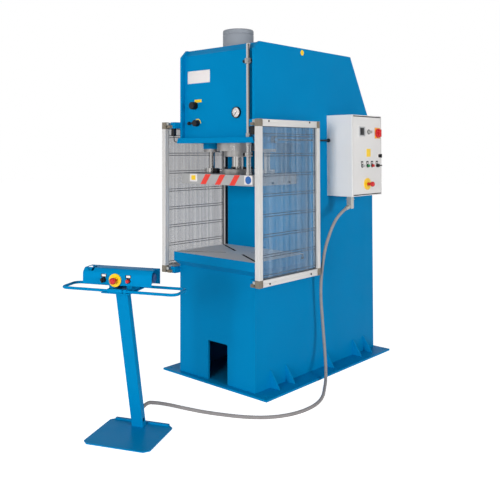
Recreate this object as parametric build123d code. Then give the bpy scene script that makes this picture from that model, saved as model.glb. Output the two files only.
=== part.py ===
from build123d import *

import os
from math import atan2, cos, degrees, radians, sin, tan

# Floor-standing hydraulic C-frame press with side guards, electrical box and two-hand console.
# Millimetres. X to the right, Y to the back, Z up. The origin is on the floor under the ram's axis.

# Frame of the press
body_width = 780
front_to_axis = 268
body_depth = 1650
body_top = 2580
side_plate = 20
front_plate = 20
nose_chamfer = 60
top_length = 1298
slope_foot = 1950
rear_sheet = 4

# Base plate and its gussets
base_thickness = 15
base_front_margin = 50
base_side_margin = 144
base_back_margin = 30
anchor_hole = 22
anchor_inset = 45
gusset_height = 130
gusset_reach = 85
gusset_thickness = 12
gusset_places = (180, 365, 890, 1310, 1480)

# Scrap opening in the lower front panel
opening_left = -82
opening_width = 202
opening_height = 297
opening_radius = 12

# Table
table_height = 962
table_edge = 67
table_bevel = 40
table_side_overhang = 30
table_front_overhang = 40
throat_depth = 575
throat_plate = 20
slot_angle = 33.4
slot_mouth = 22
slot_depth = 38
slot_head = 37
slot_head_height = 16
plug_diameter = 200
plug_thickness = 25
plug_seat = 15
plug_gap = 0.3
rib_thickness = 20
rib_height = 400
rib_spacing = 420

# Head of the press
head_bottom = 1828
head_floor = 40
lip_reach = 25
lip_height = 42
lip_flare = 15
cover_recess = 34
cover_sheet = 3
cover_lean = 50

# Cylinder and ram
cylinder_diameter = 232
cylinder_bore = 160
cylinder_rise = 172
cylinder_cap = 42
cylinder_chamfer = 12
cylinder_foot_diameter = 310
cylinder_foot = 30
seam_below_top = 39
seam_width = 7
seam_depth = 3
top_hole_gap = 4
gland_share = 0.44
gland_height = 62
gland_nose_diameter = 224
gland_nose = 44
gland_spigot = 50
ram_diameter = 102
piston_height = 70
piston_top_gap = 55
piston_gap = 0.3
running_gap = 0.05
fit_gap = 0.1
platen_drop = 240
platen_thickness = 80
platen_side_gap = 18
platen_depth = 536
ram_flange_diameter = 265
ram_flange = 38
ram_flange_chamfer = 3

# Guide columns of the platen
column_diameter = 50
column_inset = 98
column_length = 682
column_foot_diameter = 124
column_foot = 38
column_chamfer = 4
housing_diameter = 142
housing_neck = 110
housing_drop = 45
housing_rise = 92
bush_wall = 8
bush_flange_diameter = 138
bush_flange = 25
bush_length = 190

# Stroke rod with its two stops
stroke_rod_diameter = 34
stroke_rod_inset = 65
stroke_rod_setback = 11
stroke_rod_length = 975
stroke_nut_diameter = 42
stroke_nut_rise = 4
stroke_nut = 20
stroke_stud_diameter = 14
stroke_stud = 35
sleeve_diameter = 44
sleeve_drop = 25
sleeve_length = 97
stop_diameter = 58
stop_gap = 5
upper_stop_height = 39
upper_stop_rise = 585
lower_stop_height = 29
lower_stop_drop = 101
clamp_stud_diameter = 10
clamp_knob_diameter = 30
clamp_knob_length = 26
clamp_knob_reach = 88

# Switch that the upper stop works
switch_slot_offset = 11
switch_slot_rise = 117
switch_slot_height = 59
switch_slot_width = 18
switch_body_width = 40
switch_body_depth = 46
switch_body_height = 76
switch_shaft = 9
switch_shaft_rise = 157
switch_body_trim = 4
switch_arm = 3
switch_arm_gap = 0.5
switch_arm_width = 12
roller_diameter = 14
roller_thickness = 9
roller_offset = 31.5
roller_rise = 114

# Pressure gauge, regulator and pressure selector on the head cover
gauge_inset = 203
gauge_rise = 230
gauge_diameter = 98
gauge_rim = 14
gauge_body_diameter = 88
gauge_body_depth = 36
gauge_wall = 5
gauge_recess = 9
needle_length = 32
needle_tail = 10
needle_width = 5
needle_thickness = 1.6
needle_stud = 3
needle_hub = 9
needle_angle = 135
knob_gap = 0.5
knob_stem = 16
knob_stem_gap = 1
regulator_inset = 138
regulator_rise = 299
regulator_diameter = 60
regulator_depth = 46
regulator_flutes = 12
flute_diameter = 8
flute_start = 7
knob_round = 3
selector_inset = 164
selector_rise = 159
selector_hub_diameter = 52
selector_hub_depth = 40
selector_arm_diameter = 12
selector_arm_reach = 78
selector_ball_diameter = 30

# Hand lever on the right side plate
lever_y = -78
lever_rise = 24
lever_boss_diameter = 56
lever_boss = 14
lever_pin = 20
lever_pin_head = 32
lever_hub_diameter = 48
lever_hub_width = 34
lever_washer = 4
lever_rod_diameter = 14
lever_rod_gap = 2
lever_length = 718
lever_ball_diameter = 32

# Side guards
guard_profile = 40
guard_stand_off = 117
guard_lead = 91
guard_length = 752
guard_below_table = 166
guard_above_head = 170
guard_edge = 1.5
guard_rail_height = 50
guard_corner_height = 54
guard_corner_round = 5
guard_groove = 5
guard_groove_depth = 9
guard_sheet = 4
guard_sheet_gap = 0.5
hinge_stand_off = 56
hinge_setback = 11
hinge_barrel = 14
hinge_pin = 7
hinge_leaf = 8
hinge_height = 44
hinge_half_gap = 0.4
bracket_plate = 8
bracket_setback = 39
bracket_leg = 150
bracket_height = 50
guard_switch_width = 34
guard_switch_depth = 24
guard_switch_height = 62
guard_cable = 7
cable_lead = 6
cable_drop = 45
cable_sag = 50
cable_low_reach = 75
cable_high_reach = 110
cable_high_drop = 8
cable_low_swing = 4
cable_high_swing = 10
cable_end_reach = 130
cable_end_rise = 12
cable_end_run = 14
cable_first_bend = 22
cable_second_bend = 26
cable_third_bend = 20
cable_last_bend = 5

# Oil tank and hydraulic unit inside the column
tank_side_gap = 90
tank_depth = 620
tank_height = 450
tank_front = 520
tank_lid = 10
tank_lid_overhang = 15
motor_diameter = 220
motor_height = 330
motor_foot_diameter = 250
motor_foot = 20
valve_block_width = 140
valve_block_depth = 110
valve_block_height = 170
pressure_pipe = 22
pipe_top_below_cap = 60

# Electrical box on the right side plate
box_front = 665
box_length = 466
box_bottom = 1397
box_height = 662
box_depth = 240
box_sheet = 2
box_rim = 12
box_corner = 4
door_depth = 20
door_sheet = 2
door_gap = 3
door_pivot = 5
door_pivot_depth = 5
door_pivot_inset = 6
door_pivot_height = 9
box_board_gap = 18
box_board_margin = 40
box_board_sheet = 3
board_post = 14
device_depth = 70
device_height = 84

# Fittings of the box door: distance back from the front of the box, and height above its bottom
display_place = (141, 528)
display_width = 100
display_height = 82
display_depth = 9
display_edge = 2
key_place = (257, 526)
key_barrel = 6
key_length = 24
key_thickness = 3
key_width = 22
main_switch_place = (390, 518)
main_switch_plate = 92
main_switch_plate_depth = 6
main_switch_diameter = 58
main_switch_depth = 40
main_switch_corner = 4
main_switch_grip = 14
main_switch_round = 3
lock_place = (421, 327)
lock_barrel = 4
lock_washer = 8
lock_rise = 24
lock_wing_width = 8
lock_wing_height = 30
button_row_rise = 246
button_grey_y = 151
button_green_y = 234
button_red_y = 306
mode_selector_y = 385
mode_grip_tail = 7
mode_grip_reach = 38
mode_grip_width = 10
grip_start = 2
grip_rise = 6
box_stop_place = (225, 96)
collar_diameter = 30
collar_depth = 8
collar_edge = 1.5
knob_inset = 2
button_diameter = 22
button_rise = 14
button_travel = 5
button_gap = 0.5
button_edge = 2
stop_collar_diameter = 96
stop_collar_depth = 5
stop_neck_diameter = 26
stop_neck = 42
stop_head_diameter = 42
stop_head = 24
dome_share = 0.45
rim_share = 0.2

# Cable outlet under the box and glands of the conduit
outlet_offset = 210
outlet_setback = 15
outlet_size = 40
outlet_drop = 96
outlet_corner = 5
outlet_flange = 4
outlet_flange_top = 18
outlet_flange_height = 6
gland_hex = 34
gland_tilt = 20
conduit_gland = 18
conduit_diameter = 24
conduit_first_run = 72
conduit_last_run = 90
bend_share = 0.45

# Route of the conduit beside the press: distance out from the side plate, place and height
conduit_fall = (
    (190, 520, 1241),
    (173, 480, 1176),
    (151, 463, 1100),
    (122, 452, 1002),
    (98, 448, 870),
    (83, 447, 742),
    (76, 453, 612),
    (77, 466, 480),
    (83, 474, 348),
    (104, 460, 222),
    (147, 412, 98),
)
conduit_beside = (
    (202, 332),
    (298, 172),
    (388, 20),
    (438, -130),
    (444, -285),
    (410, -430),
)

# Route over the floor to the console: place, and height of the conduit's underside
conduit_across = (
    (718, -560, 0),
    (595, -655, 0),
    (466, -718, 0),
    (352, -766, 0),
    (251, -794, 0),
    (192, -819, 4),
    (151, -869, 22),
    (137, -939, 48),
    (142, -1012, 75),
)

# Console: its own frame stands on the floor, turned towards the operator
console_origin = (196, -1200, 0)
console_turn = 24.4
foot_width = 440
foot_front = -350
foot_back = 60
foot_thickness = 8
foot_corner = 32
foot_strip = 22
foot_strip_height = 10
post_width = 80
post_depth = 50
post_wall = 4
post_lean = 14.5
post_top = 903
post_hole = 26
post_hole_z = 53
post_corner = 5
head_plate_width = 190
head_plate_thickness = 6
head_plate_margin = 14
head_plate_shift = -20
rail_diameter = 18
rail_left = -370
rail_right = 335
rail_front = -290
rail_back = -100
rail_corner = 45
clamp_left = -92
clamp_length = 130
clamp_size = 28
clamp_corner = 4
console_left = -262
console_right = 205
console_front = -265
console_back = -80
console_bottom = 948
console_front_height = 68
console_back_height = 101
console_top_flat = 28
console_sheet = 2
console_bend = 10
console_end_depth = 48
console_notch = 34
console_foot_width = 36
console_foot_spacing = 120
console_foot_inset = 36
hole_reach = 3
palm_diameter = 58
palm_head = 22
palm_neck_diameter = 30
palm_z = 988
palm_neck = 8
palm_stem = 24
palm_y = -168
console_row_z = 979
console_stop_x = -37
console_selector_x = -116
console_button_x = 50
console_stop_collar = 80
console_stop_neck = 26
console_stop_head = 40
console_grip_width = 8
console_grip_height = 32
conduit_entry_z = 88

# Values that follow from the sizes above
half_body = body_width / 2
half_inside = half_body - side_plate
front = -front_to_axis
back = front + body_depth
table_bottom = table_height - table_edge - table_bevel
throat = front + throat_depth
throat_back = throat + throat_plate
head_floor_top = head_bottom + head_floor
cover_face = front + cover_recess
top_back = front + top_length
cylinder_top = body_top + cylinder_rise
gland_diameter = body_width * gland_share
gland_bottom = head_bottom - gland_height
nose_bottom = gland_bottom - gland_nose
platen_top = head_bottom - platen_drop
platen_width = body_width - 2 * platen_side_gap
column_spacing = body_width - 2 * column_inset
piston_bottom = cylinder_top - cylinder_cap - piston_top_gap - piston_height
rod_bottom = platen_top + stroke_nut_rise
stroke_rod_x = half_body - stroke_rod_inset
stroke_rod_y = front + stroke_rod_setback
upper_stop_bottom = head_bottom + upper_stop_rise
lower_stop_bottom = head_bottom - lower_stop_drop
switch_slot_x = stroke_rod_x + switch_slot_offset
switch_slot_bottom = head_bottom + switch_slot_rise
switch_slot_top = switch_slot_bottom + switch_slot_height
switch_shaft_z = head_bottom + switch_shaft_rise
roller_x = stroke_rod_x + roller_offset
roller_z = head_bottom + roller_rise
gauge_x = half_body - gauge_inset
gauge_z = head_bottom + gauge_rise
regulator_x = regulator_inset - half_body
regulator_z = head_bottom + regulator_rise
selector_x = selector_inset - half_body
selector_z = head_bottom + selector_rise
lever_z = head_bottom + lever_rise
guard_outer_x = half_body + guard_stand_off
guard_front = front - guard_lead
guard_back = guard_front + guard_length
guard_bottom = table_height - guard_below_table
guard_top = head_bottom + guard_above_head
hinge_x = half_body + hinge_stand_off
hinge_y = guard_front + hinge_setback
bracket_flange_y = guard_front + bracket_setback
tank_width = body_width - 2 * side_plate - 2 * tank_side_gap
outlet_x = half_body + outlet_offset
outlet_y = box_front + outlet_setback
button_row = box_bottom + button_row_rise
box_outer = half_body + box_depth
door_back = box_outer - door_depth
hub_front = half_body + lever_boss
middle = (Align.CENTER, Align.CENTER, Align.CENTER)
upright = (Align.CENTER, Align.CENTER, Align.MIN)
console_plane = Plane(
    origin=console_origin,
    x_dir=(cos(radians(console_turn)), sin(radians(console_turn)), 0),
    z_dir=(0, 0, 1),
)


def block(x_limits, y_limits, z_limits):
    """A box between two limits along each axis."""
    lengths = [high - low for low, high in (x_limits, y_limits, z_limits)]
    centre = [(low + high) / 2 for low, high in (x_limits, y_limits, z_limits)]
    return Pos(*centre) * Box(*lengths)


def bar(diameter, start, end):
    """A round bar from one point to another."""
    along = Vector(*end) - Vector(*start)
    place = Plane(origin=start, z_dir=along)
    return place * Cylinder(diameter / 2, along.length, align=upright)


def turned(x, y, steps):
    """A turned piece on a vertical axis, from (diameter, bottom, top) steps."""
    pieces = [bar(diameter, (x, y, low), (x, y, high)) for diameter, low, high in steps]
    return sum(pieces[1:], pieces[0])


def side_profile(points, x_start, x_end):
    """A plate cut to an outline of (y, z) points, from one x to another."""
    outline = make_face(Polyline(*points, close=True))
    return Pos(x_start, 0, 0) * extrude(Plane.YZ * outline, x_end - x_start)


def side_sheet(points, thickness, x_start, x_end):
    """Bent sheet along a line of (y, z) points; the metal lies to the right of the line."""
    line = Polyline(*points)
    strip = offset(line, thickness, kind=Kind.INTERSECTION, side=Side.RIGHT)
    return Pos(x_start, 0, 0) * extrude(Plane.YZ * make_face(strip), x_end - x_start)


def mirrored(shape):
    """The same piece on the left side of the press."""
    return mirror(shape, about=Plane.YZ)


def save(name, *pieces):
    """Write one sub-part, with its separate pieces kept apart."""
    solids = [solid for piece in pieces for solid in piece.solids()]
    shape = solids[0] if len(solids) == 1 else Compound(children=solids)
    shape.label = name
    export_step(shape, f"parts/{name}.step")


def base_plate():
    """Floor plate with an anchor hole at each corner."""
    half = half_body + base_side_margin
    near = front - base_front_margin
    far = back + base_back_margin
    plate = block((-half, half), (near, far), (0, base_thickness))
    for x in (anchor_inset - half, half - anchor_inset):
        for y in (near + anchor_inset, far - anchor_inset):
            plate -= bar(anchor_hole, (x, y, -1), (x, y, base_thickness + 1))
    return plate


def base_gussets():
    """Triangular gussets between the base plate and both side plates."""
    triangle = make_face(
        Polyline(
            (half_body, base_thickness),
            (half_body + gusset_reach, base_thickness),
            (half_body, base_thickness + gusset_height),
            close=True,
        )
    )
    gussets = []
    for place in gusset_places:
        gusset = extrude(Plane.XZ * triangle, gusset_thickness / 2, both=True)
        gusset = Pos(0, front + place, 0) * gusset
        gussets += [gusset, mirrored(gusset)]
    return gussets


def side_plate_right():
    """C-shaped side plate with the throat, the chamfered nose and the sloping back."""
    outline = [
        (front, base_thickness),
        (front, table_bottom),
        (throat_back, table_bottom),
        (throat_back, head_floor_top),
        (front, head_floor_top),
        (front, body_top - nose_chamfer),
        (front + nose_chamfer, body_top),
        (top_back, body_top),
        (back, slope_foot),
        (back, base_thickness),
    ]
    return side_profile(outline, half_inside, half_body)


def lower_front_panel():
    """Front plate below the table, with the scrap opening that ends at the base plate."""
    panel = block(
        (-half_inside, half_inside), (front, front + front_plate), (base_thickness, table_bottom)
    )
    low = base_thickness - opening_radius * 2
    high = base_thickness + opening_height
    opening = block(
        (opening_left, opening_left + opening_width), (front - 1, front + front_plate + 1), (low, high)
    )
    opening = fillet(opening.edges().filter_by(Axis.Y), opening_radius)
    return panel - opening


def throat_wall():
    """Plate across the front of the column, between the table and the head."""
    return block((-half_body, half_body), (throat, throat_back), (table_bottom, head_bottom))


def table_plate():
    """Thick steel table with a bevelled underside, two crossing T-slots and a scrap hole."""
    wide = half_body + table_side_overhang
    near = front - table_front_overhang
    edge_bottom = table_height - table_edge
    plate = block((-wide, wide), (near, throat), (edge_bottom, table_height))
    upper = Pos(0, (near + throat) / 2, edge_bottom) * Rectangle(2 * wide, throat - near)
    lower = Pos(0, (front + throat) / 2, table_bottom) * Rectangle(body_width, throat - front)
    plate += loft([lower, upper])
    slot_length = 2 * (wide + throat - near)
    mouth = Box(slot_length, slot_mouth, slot_depth + 1)
    head = Box(slot_length, slot_head, slot_head_height)
    floor = table_height - slot_depth
    for angle in (slot_angle, -slot_angle):
        turn = Rot(0, 0, angle)
        plate -= Pos(0, 0, floor + (slot_depth + 1) / 2) * turn * mouth
        plate -= Pos(0, 0, floor + slot_head_height / 2) * turn * head
    hole = plug_diameter - 2 * plug_seat
    seat = table_height - plug_thickness
    plate -= bar(plug_diameter + 2 * plug_gap, (0, 0, seat), (0, 0, table_height + 1))
    return plate - bar(hole, (0, 0, table_bottom - 1), (0, 0, table_height))


def table_plug():
    """Plug that closes the scrap hole flush with the table."""
    return bar(plug_diameter, (0, 0, table_height - plug_thickness), (0, 0, table_height))


def table_ribs():
    """Two long ribs and one cross rib under the table, clear of the scrap hole."""
    low = table_bottom - rib_height
    start = front + front_plate
    ribs = []
    for x in (-rib_spacing / 2, rib_spacing / 2):
        sides = (x - rib_thickness / 2, x + rib_thickness / 2)
        ribs.append(block(sides, (start, throat), (low, table_bottom)))
    cross = block((-half_inside, half_inside), (throat, throat + rib_thickness), (low, table_bottom))
    return ribs + [cross]


def head_floor_plate():
    """Plate under the head with its flared front lip, bored for the gland, guides and rod."""
    plate = block((-half_body, half_body), (front, throat_back), (head_bottom, head_floor_top))
    lip_outline = make_face(
        Polyline(
            (-half_body - lip_flare, head_bottom),
            (half_body + lip_flare, head_bottom),
            (half_body, head_bottom + lip_height),
            (-half_body, head_bottom + lip_height),
            close=True,
        )
    )
    lip = Pos(0, front, 0) * extrude(Plane.XZ * lip_outline, lip_reach)
    plate += lip
    below = head_bottom - 1
    above = head_bottom + lip_height + 1
    plate -= bar(cylinder_bore, (0, 0, below), (0, 0, above))
    for x in (-column_spacing / 2, column_spacing / 2):
        plate -= bar(housing_neck + 2 * fit_gap, (x, 0, below), (x, 0, above))
    rod_hole = sleeve_diameter + 2 * fit_gap
    return plate - bar(rod_hole, (stroke_rod_x, stroke_rod_y, below), (stroke_rod_x, stroke_rod_y, above))


def head_front_cover():
    """Recessed sheet cover of the head; its top band leans back to the roof."""
    bend = body_top - cover_lean
    line = [(cover_face, head_floor_top), (cover_face, bend), (cover_face + cover_lean, body_top)]
    cover = side_sheet(line, cover_sheet, -half_inside, half_inside)
    inside = cover_face + cover_sheet + 1
    outside = cover_face - 1
    gauge_hole = gauge_body_diameter + 2 * fit_gap
    cover -= bar(gauge_hole, (gauge_x, outside, gauge_z), (gauge_x, inside, gauge_z))
    for x, z in ((regulator_x, regulator_z), (selector_x, selector_z)):
        cover -= bar(knob_stem + 2 * knob_stem_gap, (x, outside, z), (x, inside, z))
    slot = block(
        (switch_slot_x - switch_slot_width / 2, switch_slot_x + switch_slot_width / 2),
        (outside, inside),
        (switch_slot_bottom, switch_slot_top),
    )
    slot = fillet(slot.edges().filter_by(Axis.Y), switch_slot_width / 2 - 0.1)
    return cover - slot


def rear_cover():
    """Bent sheet over the roof, the rear slope and the back, between the side plates."""
    line = [
        (cover_face + cover_lean + cover_sheet * 2, body_top),
        (top_back, body_top),
        (back, slope_foot),
        (back, base_thickness),
    ]
    cover = side_sheet(line, rear_sheet, -half_inside, half_inside)
    hole = cylinder_diameter + 2 * top_hole_gap
    return cover - bar(hole, (0, 0, body_top - rear_sheet * 2), (0, 0, body_top + 1))


def cylinder_barrel():
    """Cylinder with its foot on the head floor and a welded cap above the roof."""
    barrel = turned(
        0, 0,
        (
            (cylinder_diameter, head_floor_top, cylinder_top),
            (cylinder_foot_diameter, head_floor_top, head_floor_top + cylinder_foot),
        ),
    )
    barrel = chamfer(barrel.edges().sort_by(Axis.Z)[-1], cylinder_chamfer)
    barrel -= bar(cylinder_bore, (0, 0, head_floor_top - 1), (0, 0, cylinder_top - cylinder_cap))
    seam = cylinder_top - seam_below_top
    groove = bar(cylinder_diameter + 2, (0, 0, seam - seam_width / 2), (0, 0, seam + seam_width / 2))
    groove -= bar(cylinder_diameter - 2 * seam_depth, (0, 0, seam - seam_width), (0, 0, seam + seam_width))
    return barrel - groove


def cylinder_gland():
    """Gland bolted under the head, with its nose below and its spigot in the bore."""
    gland = turned(
        0, 0,
        (
            (gland_nose_diameter, nose_bottom, gland_bottom),
            (gland_diameter, gland_bottom, head_bottom),
            (cylinder_bore - 2 * fit_gap, head_bottom, head_floor_top + gland_spigot),
        ),
    )
    bore = ram_diameter + 2 * running_gap
    return gland - bar(bore, (0, 0, nose_bottom - 1), (0, 0, head_floor_top + gland_spigot + 1))


def guide_housings():
    """Housings of the two guide columns, set through the head floor."""
    housings = []
    for x in (-column_spacing / 2, column_spacing / 2):
        housing = turned(
            x, 0,
            (
                (housing_diameter, head_bottom - housing_drop, head_bottom),
                (housing_neck, head_bottom, head_floor_top + housing_rise),
            ),
        )
        bore = column_diameter + 2 * bush_wall + 2 * fit_gap
        low = head_bottom - housing_drop - 1
        housings.append(housing - bar(bore, (x, 0, low), (x, 0, head_floor_top + housing_rise + 1)))
    return housings


def guide_bushes():
    """Flanged bushes of the guide columns and the sleeve of the stroke rod."""
    top = head_bottom - housing_drop
    bushes = []
    for x in (-column_spacing / 2, column_spacing / 2):
        bush = turned(
            x, 0,
            (
                (bush_flange_diameter, top - bush_flange, top),
                (column_diameter + 2 * bush_wall, top, top - bush_flange + bush_length),
            ),
        )
        bore = column_diameter + 2 * running_gap
        bushes.append(bush - bar(bore, (x, 0, top - bush_flange - 1), (x, 0, top + bush_length)))
    low = head_bottom - sleeve_drop
    sleeve = turned(stroke_rod_x, stroke_rod_y, ((sleeve_diameter, low, low + sleeve_length),))
    bore = stroke_rod_diameter + 2 * running_gap
    sleeve -= turned(stroke_rod_x, stroke_rod_y, ((bore, low - 1, low + sleeve_length + 1),))
    return bushes + [sleeve]


def piston_rod():
    """Piston and rod turned in one piece."""
    rod = turned(
        0, 0,
        (
            (ram_diameter, platen_top, piston_bottom),
            (cylinder_bore - 2 * piston_gap, piston_bottom, piston_bottom + piston_height),
        ),
    )
    return chamfer(rod.edges().sort_by(Axis.Z)[-1], ram_flange_chamfer)


def ram_foot():
    """Round flange that joins the ram to the platen."""
    flange = turned(0, 0, ((ram_flange_diameter, platen_top, platen_top + ram_flange),))
    flange = chamfer(flange.edges().sort_by(Axis.Z)[-1], ram_flange_chamfer)
    bore = ram_diameter + 2 * fit_gap
    return flange - turned(0, 0, ((bore, platen_top - 1, platen_top + ram_flange + 1),))


def platen():
    """Pressing plate that hangs on the ram and the guide columns."""
    wide = platen_width / 2
    deep = platen_depth / 2
    plate = block((-wide, wide), (-deep, deep), (platen_top - platen_thickness, platen_top))
    plate = chamfer(plate.edges().filter_by(Axis.Z), ram_flange_chamfer)
    stud = stroke_stud_diameter + 2 * fit_gap
    low = platen_top - stroke_stud - 1
    return plate - turned(stroke_rod_x, stroke_rod_y, ((stud, low, platen_top + 1),))


def guide_columns():
    """Two guide columns with round feet on the platen."""
    columns = []
    for x in (-column_spacing / 2, column_spacing / 2):
        column = turned(
            x, 0,
            (
                (column_diameter, platen_top, platen_top + column_length),
                (column_foot_diameter, platen_top, platen_top + column_foot),
            ),
        )
        columns.append(chamfer(column.edges().sort_by(Axis.Z)[-1], column_chamfer))
    return columns


def stroke_rod():
    """Rod that carries the stroke stops, screwed into the front of the platen."""
    rod = turned(
        stroke_rod_x, stroke_rod_y,
        (
            (stroke_stud_diameter, platen_top - stroke_stud, platen_top),
            (stroke_rod_diameter, platen_top, platen_top + stroke_rod_length),
            (stroke_nut_diameter, rod_bottom, rod_bottom + stroke_nut),
        ),
    )
    return chamfer(rod.edges().sort_by(Axis.Z)[-1], column_chamfer)


def stroke_stop(bottom, height):
    """Clamp collar with a flat back that slides past the head cover, and its clamp knob."""
    collar = turned(stroke_rod_x, stroke_rod_y, ((stop_diameter, bottom, bottom + height),))
    flat = cover_face - stop_gap
    half = stop_diameter
    collar -= block(
        (stroke_rod_x - half, stroke_rod_x + half), (flat, flat + half), (bottom - 1, bottom + height + 1)
    )
    centre = bottom + height / 2
    knob_end = stroke_rod_x - clamp_knob_reach
    knob_start = knob_end + clamp_knob_length
    stud_end = (stroke_rod_x, stroke_rod_y, centre)
    collar += bar(clamp_stud_diameter, (knob_start, stroke_rod_y, centre), stud_end)
    knob = bar(clamp_knob_diameter, (knob_end, stroke_rod_y, centre), (knob_start, stroke_rod_y, centre))
    collar += chamfer(knob.edges().filter_by(GeomType.CIRCLE), cover_sheet)
    bore = stroke_rod_diameter + 2 * running_gap
    return collar - turned(stroke_rod_x, stroke_rod_y, ((bore, bottom - 1, bottom + height + 1),))


def switch_roller():
    """Roller lever of the stroke switch: shaft through the cover's slot, arm and roller."""
    arm_back = cover_face - switch_arm_gap
    arm_front = arm_back - switch_arm
    roller_front = arm_front - roller_thickness
    shaft_in = cover_face + cover_sheet + switch_body_depth / 2
    shaft_start = (switch_slot_x, arm_front, switch_shaft_z)
    lever = bar(switch_shaft, shaft_start, (switch_slot_x, shaft_in, switch_shaft_z))
    reach = Vector(roller_x - switch_slot_x, 0, roller_z - switch_shaft_z)
    strip = SlotCenterToCenter(reach.length, switch_arm_width)
    turn = degrees(atan2(reach.Z, reach.X))
    centre = ((switch_slot_x + roller_x) / 2, arm_back, (switch_shaft_z + roller_z) / 2)
    place = Plane(origin=centre, x_dir=(1, 0, 0), z_dir=(0, -1, 0))
    lever += extrude(place * Rot(0, 0, turn) * strip, switch_arm)
    return lever + bar(roller_diameter, (roller_x, arm_front, roller_z), (roller_x, roller_front, roller_z))


def stroke_switch():
    """Body of the stroke switch behind the head cover."""
    inside = cover_face + cover_sheet
    body = block(
        (switch_slot_x - switch_body_width / 2, switch_slot_x + switch_body_width / 2 - switch_body_trim),
        (inside, inside + switch_body_depth),
        (switch_shaft_z - switch_body_height / 2, switch_shaft_z + switch_body_height / 2),
    )
    bore = switch_shaft + 2 * running_gap
    deep = inside + switch_body_depth / 2 + knob_gap
    start = (switch_slot_x, inside - 1, switch_shaft_z)
    return body - bar(bore, start, (switch_slot_x, deep, switch_shaft_z))


def gauge_case():
    """Pressure gauge set in the cover: rim, recessed dial, pointer stud and rear body."""
    rim_front = cover_face - gauge_rim
    body_back = cover_face + gauge_body_depth
    case = bar(gauge_diameter, (gauge_x, cover_face, gauge_z), (gauge_x, rim_front, gauge_z))
    case += bar(gauge_body_diameter, (gauge_x, body_back, gauge_z), (gauge_x, cover_face, gauge_z))
    dial = rim_front + gauge_recess
    recess = gauge_diameter - 2 * gauge_wall
    case -= bar(recess, (gauge_x, rim_front - 1, gauge_z), (gauge_x, dial, gauge_z))
    stud_end = (gauge_x, dial - needle_thickness * 2, gauge_z)
    return case + bar(needle_stud, (gauge_x, dial, gauge_z), stud_end)


def gauge_needle():
    """Pointer of the gauge, resting at the start of the scale."""
    dial = cover_face - gauge_rim + gauge_recess
    start = dial - knob_gap
    outline = make_face(
        Polyline(
            (-needle_width / 2, -needle_tail),
            (needle_width / 2, -needle_tail),
            (needle_width / 2, 0),
            (needle_thickness / 2, needle_length),
            (-needle_thickness / 2, needle_length),
            (-needle_width / 2, 0),
            close=True,
        )
    )
    face = Plane(origin=(gauge_x, start, gauge_z), x_dir=(1, 0, 0), z_dir=(0, -1, 0))
    blade = extrude(face * Rot(0, 0, needle_angle) * outline, needle_thickness)
    hub = bar(needle_hub, (gauge_x, start, gauge_z), (gauge_x, start - needle_thickness, gauge_z))
    stud = needle_stud + 2 * running_gap
    return blade + hub - bar(stud, (gauge_x, dial + 1, gauge_z), (gauge_x, start - gauge_rim, gauge_z))


def regulator_knob():
    """Fluted pressure regulator knob with its stem through the cover."""
    face = cover_face - knob_gap
    knob = bar(regulator_diameter, (regulator_x, face, regulator_z),
               (regulator_x, face - regulator_depth, regulator_z))
    knob = fillet(knob.edges().filter_by(GeomType.CIRCLE).sort_by(Axis.Y)[0], knob_round)
    for index in range(regulator_flutes):
        angle = radians(index * 360 / regulator_flutes)
        x = regulator_x + cos(angle) * regulator_diameter / 2
        z = regulator_z + sin(angle) * regulator_diameter / 2
        knob -= bar(flute_diameter, (x, face - flute_start, z), (x, face - regulator_depth - 1, z))
    stem_end = (regulator_x, cover_face + knob_stem, regulator_z)
    return knob + bar(knob_stem, (regulator_x, face, regulator_z), stem_end)


def selector_lever():
    """Pressure selector: hub, bent-out arm and ball, with its stem through the cover."""
    face = cover_face - knob_gap
    hub = bar(selector_hub_diameter, (selector_x, face, selector_z),
              (selector_x, face - selector_hub_depth, selector_z))
    hub = fillet(hub.edges().filter_by(GeomType.CIRCLE).sort_by(Axis.Y)[0], knob_round)
    level = face - selector_hub_depth / 2
    tip = selector_x - selector_arm_reach
    arm = bar(selector_arm_diameter, (tip, level, selector_z), (selector_x, level, selector_z))
    # The ball's poles lie on the arm's axis.
    ball = Pos(tip, level, selector_z) * Rot(0, 90, 0) * Sphere(selector_ball_diameter / 2)
    hub += arm + ball
    stem_end = (selector_x, cover_face + knob_stem, selector_z)
    return hub + bar(knob_stem, (selector_x, face, selector_z), stem_end)


def lever_boss_and_pin():
    """Boss and pivot pin of the hand lever, welded to the right side plate."""
    pin_end = hub_front + lever_hub_width + 2 * knob_gap
    boss = bar(lever_boss_diameter, (half_body, lever_y, lever_z), (hub_front, lever_y, lever_z))
    boss += bar(lever_pin, (hub_front, lever_y, lever_z), (pin_end, lever_y, lever_z))
    head_end = (pin_end + lever_washer, lever_y, lever_z)
    return boss + bar(lever_pin_head, (pin_end, lever_y, lever_z), head_end)


def hand_lever():
    """Hand lever: hub on the pivot pin, round bar to the back and ball knob."""
    start = hub_front + knob_gap
    centre = start + lever_hub_width / 2
    hub = bar(lever_hub_diameter, (start, lever_y, lever_z), (start + lever_hub_width, lever_y, lever_z))
    end = lever_y + lever_length
    rod_start = lever_y + lever_pin / 2 + lever_rod_gap
    hub += bar(lever_rod_diameter, (centre, rod_start, lever_z), (centre, end, lever_z))
    bore = lever_pin + 2 * running_gap
    hub -= bar(bore, (start - 1, lever_y, lever_z), (start + lever_hub_width + 1, lever_y, lever_z))
    return hub + Pos(centre, end, lever_z) * Sphere(lever_ball_diameter / 2)


def hinge_levels():
    """Bottom of each of the two hinges of a guard."""
    top = guard_top - (bracket_height + hinge_height) / 2
    return (guard_bottom, top)


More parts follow.
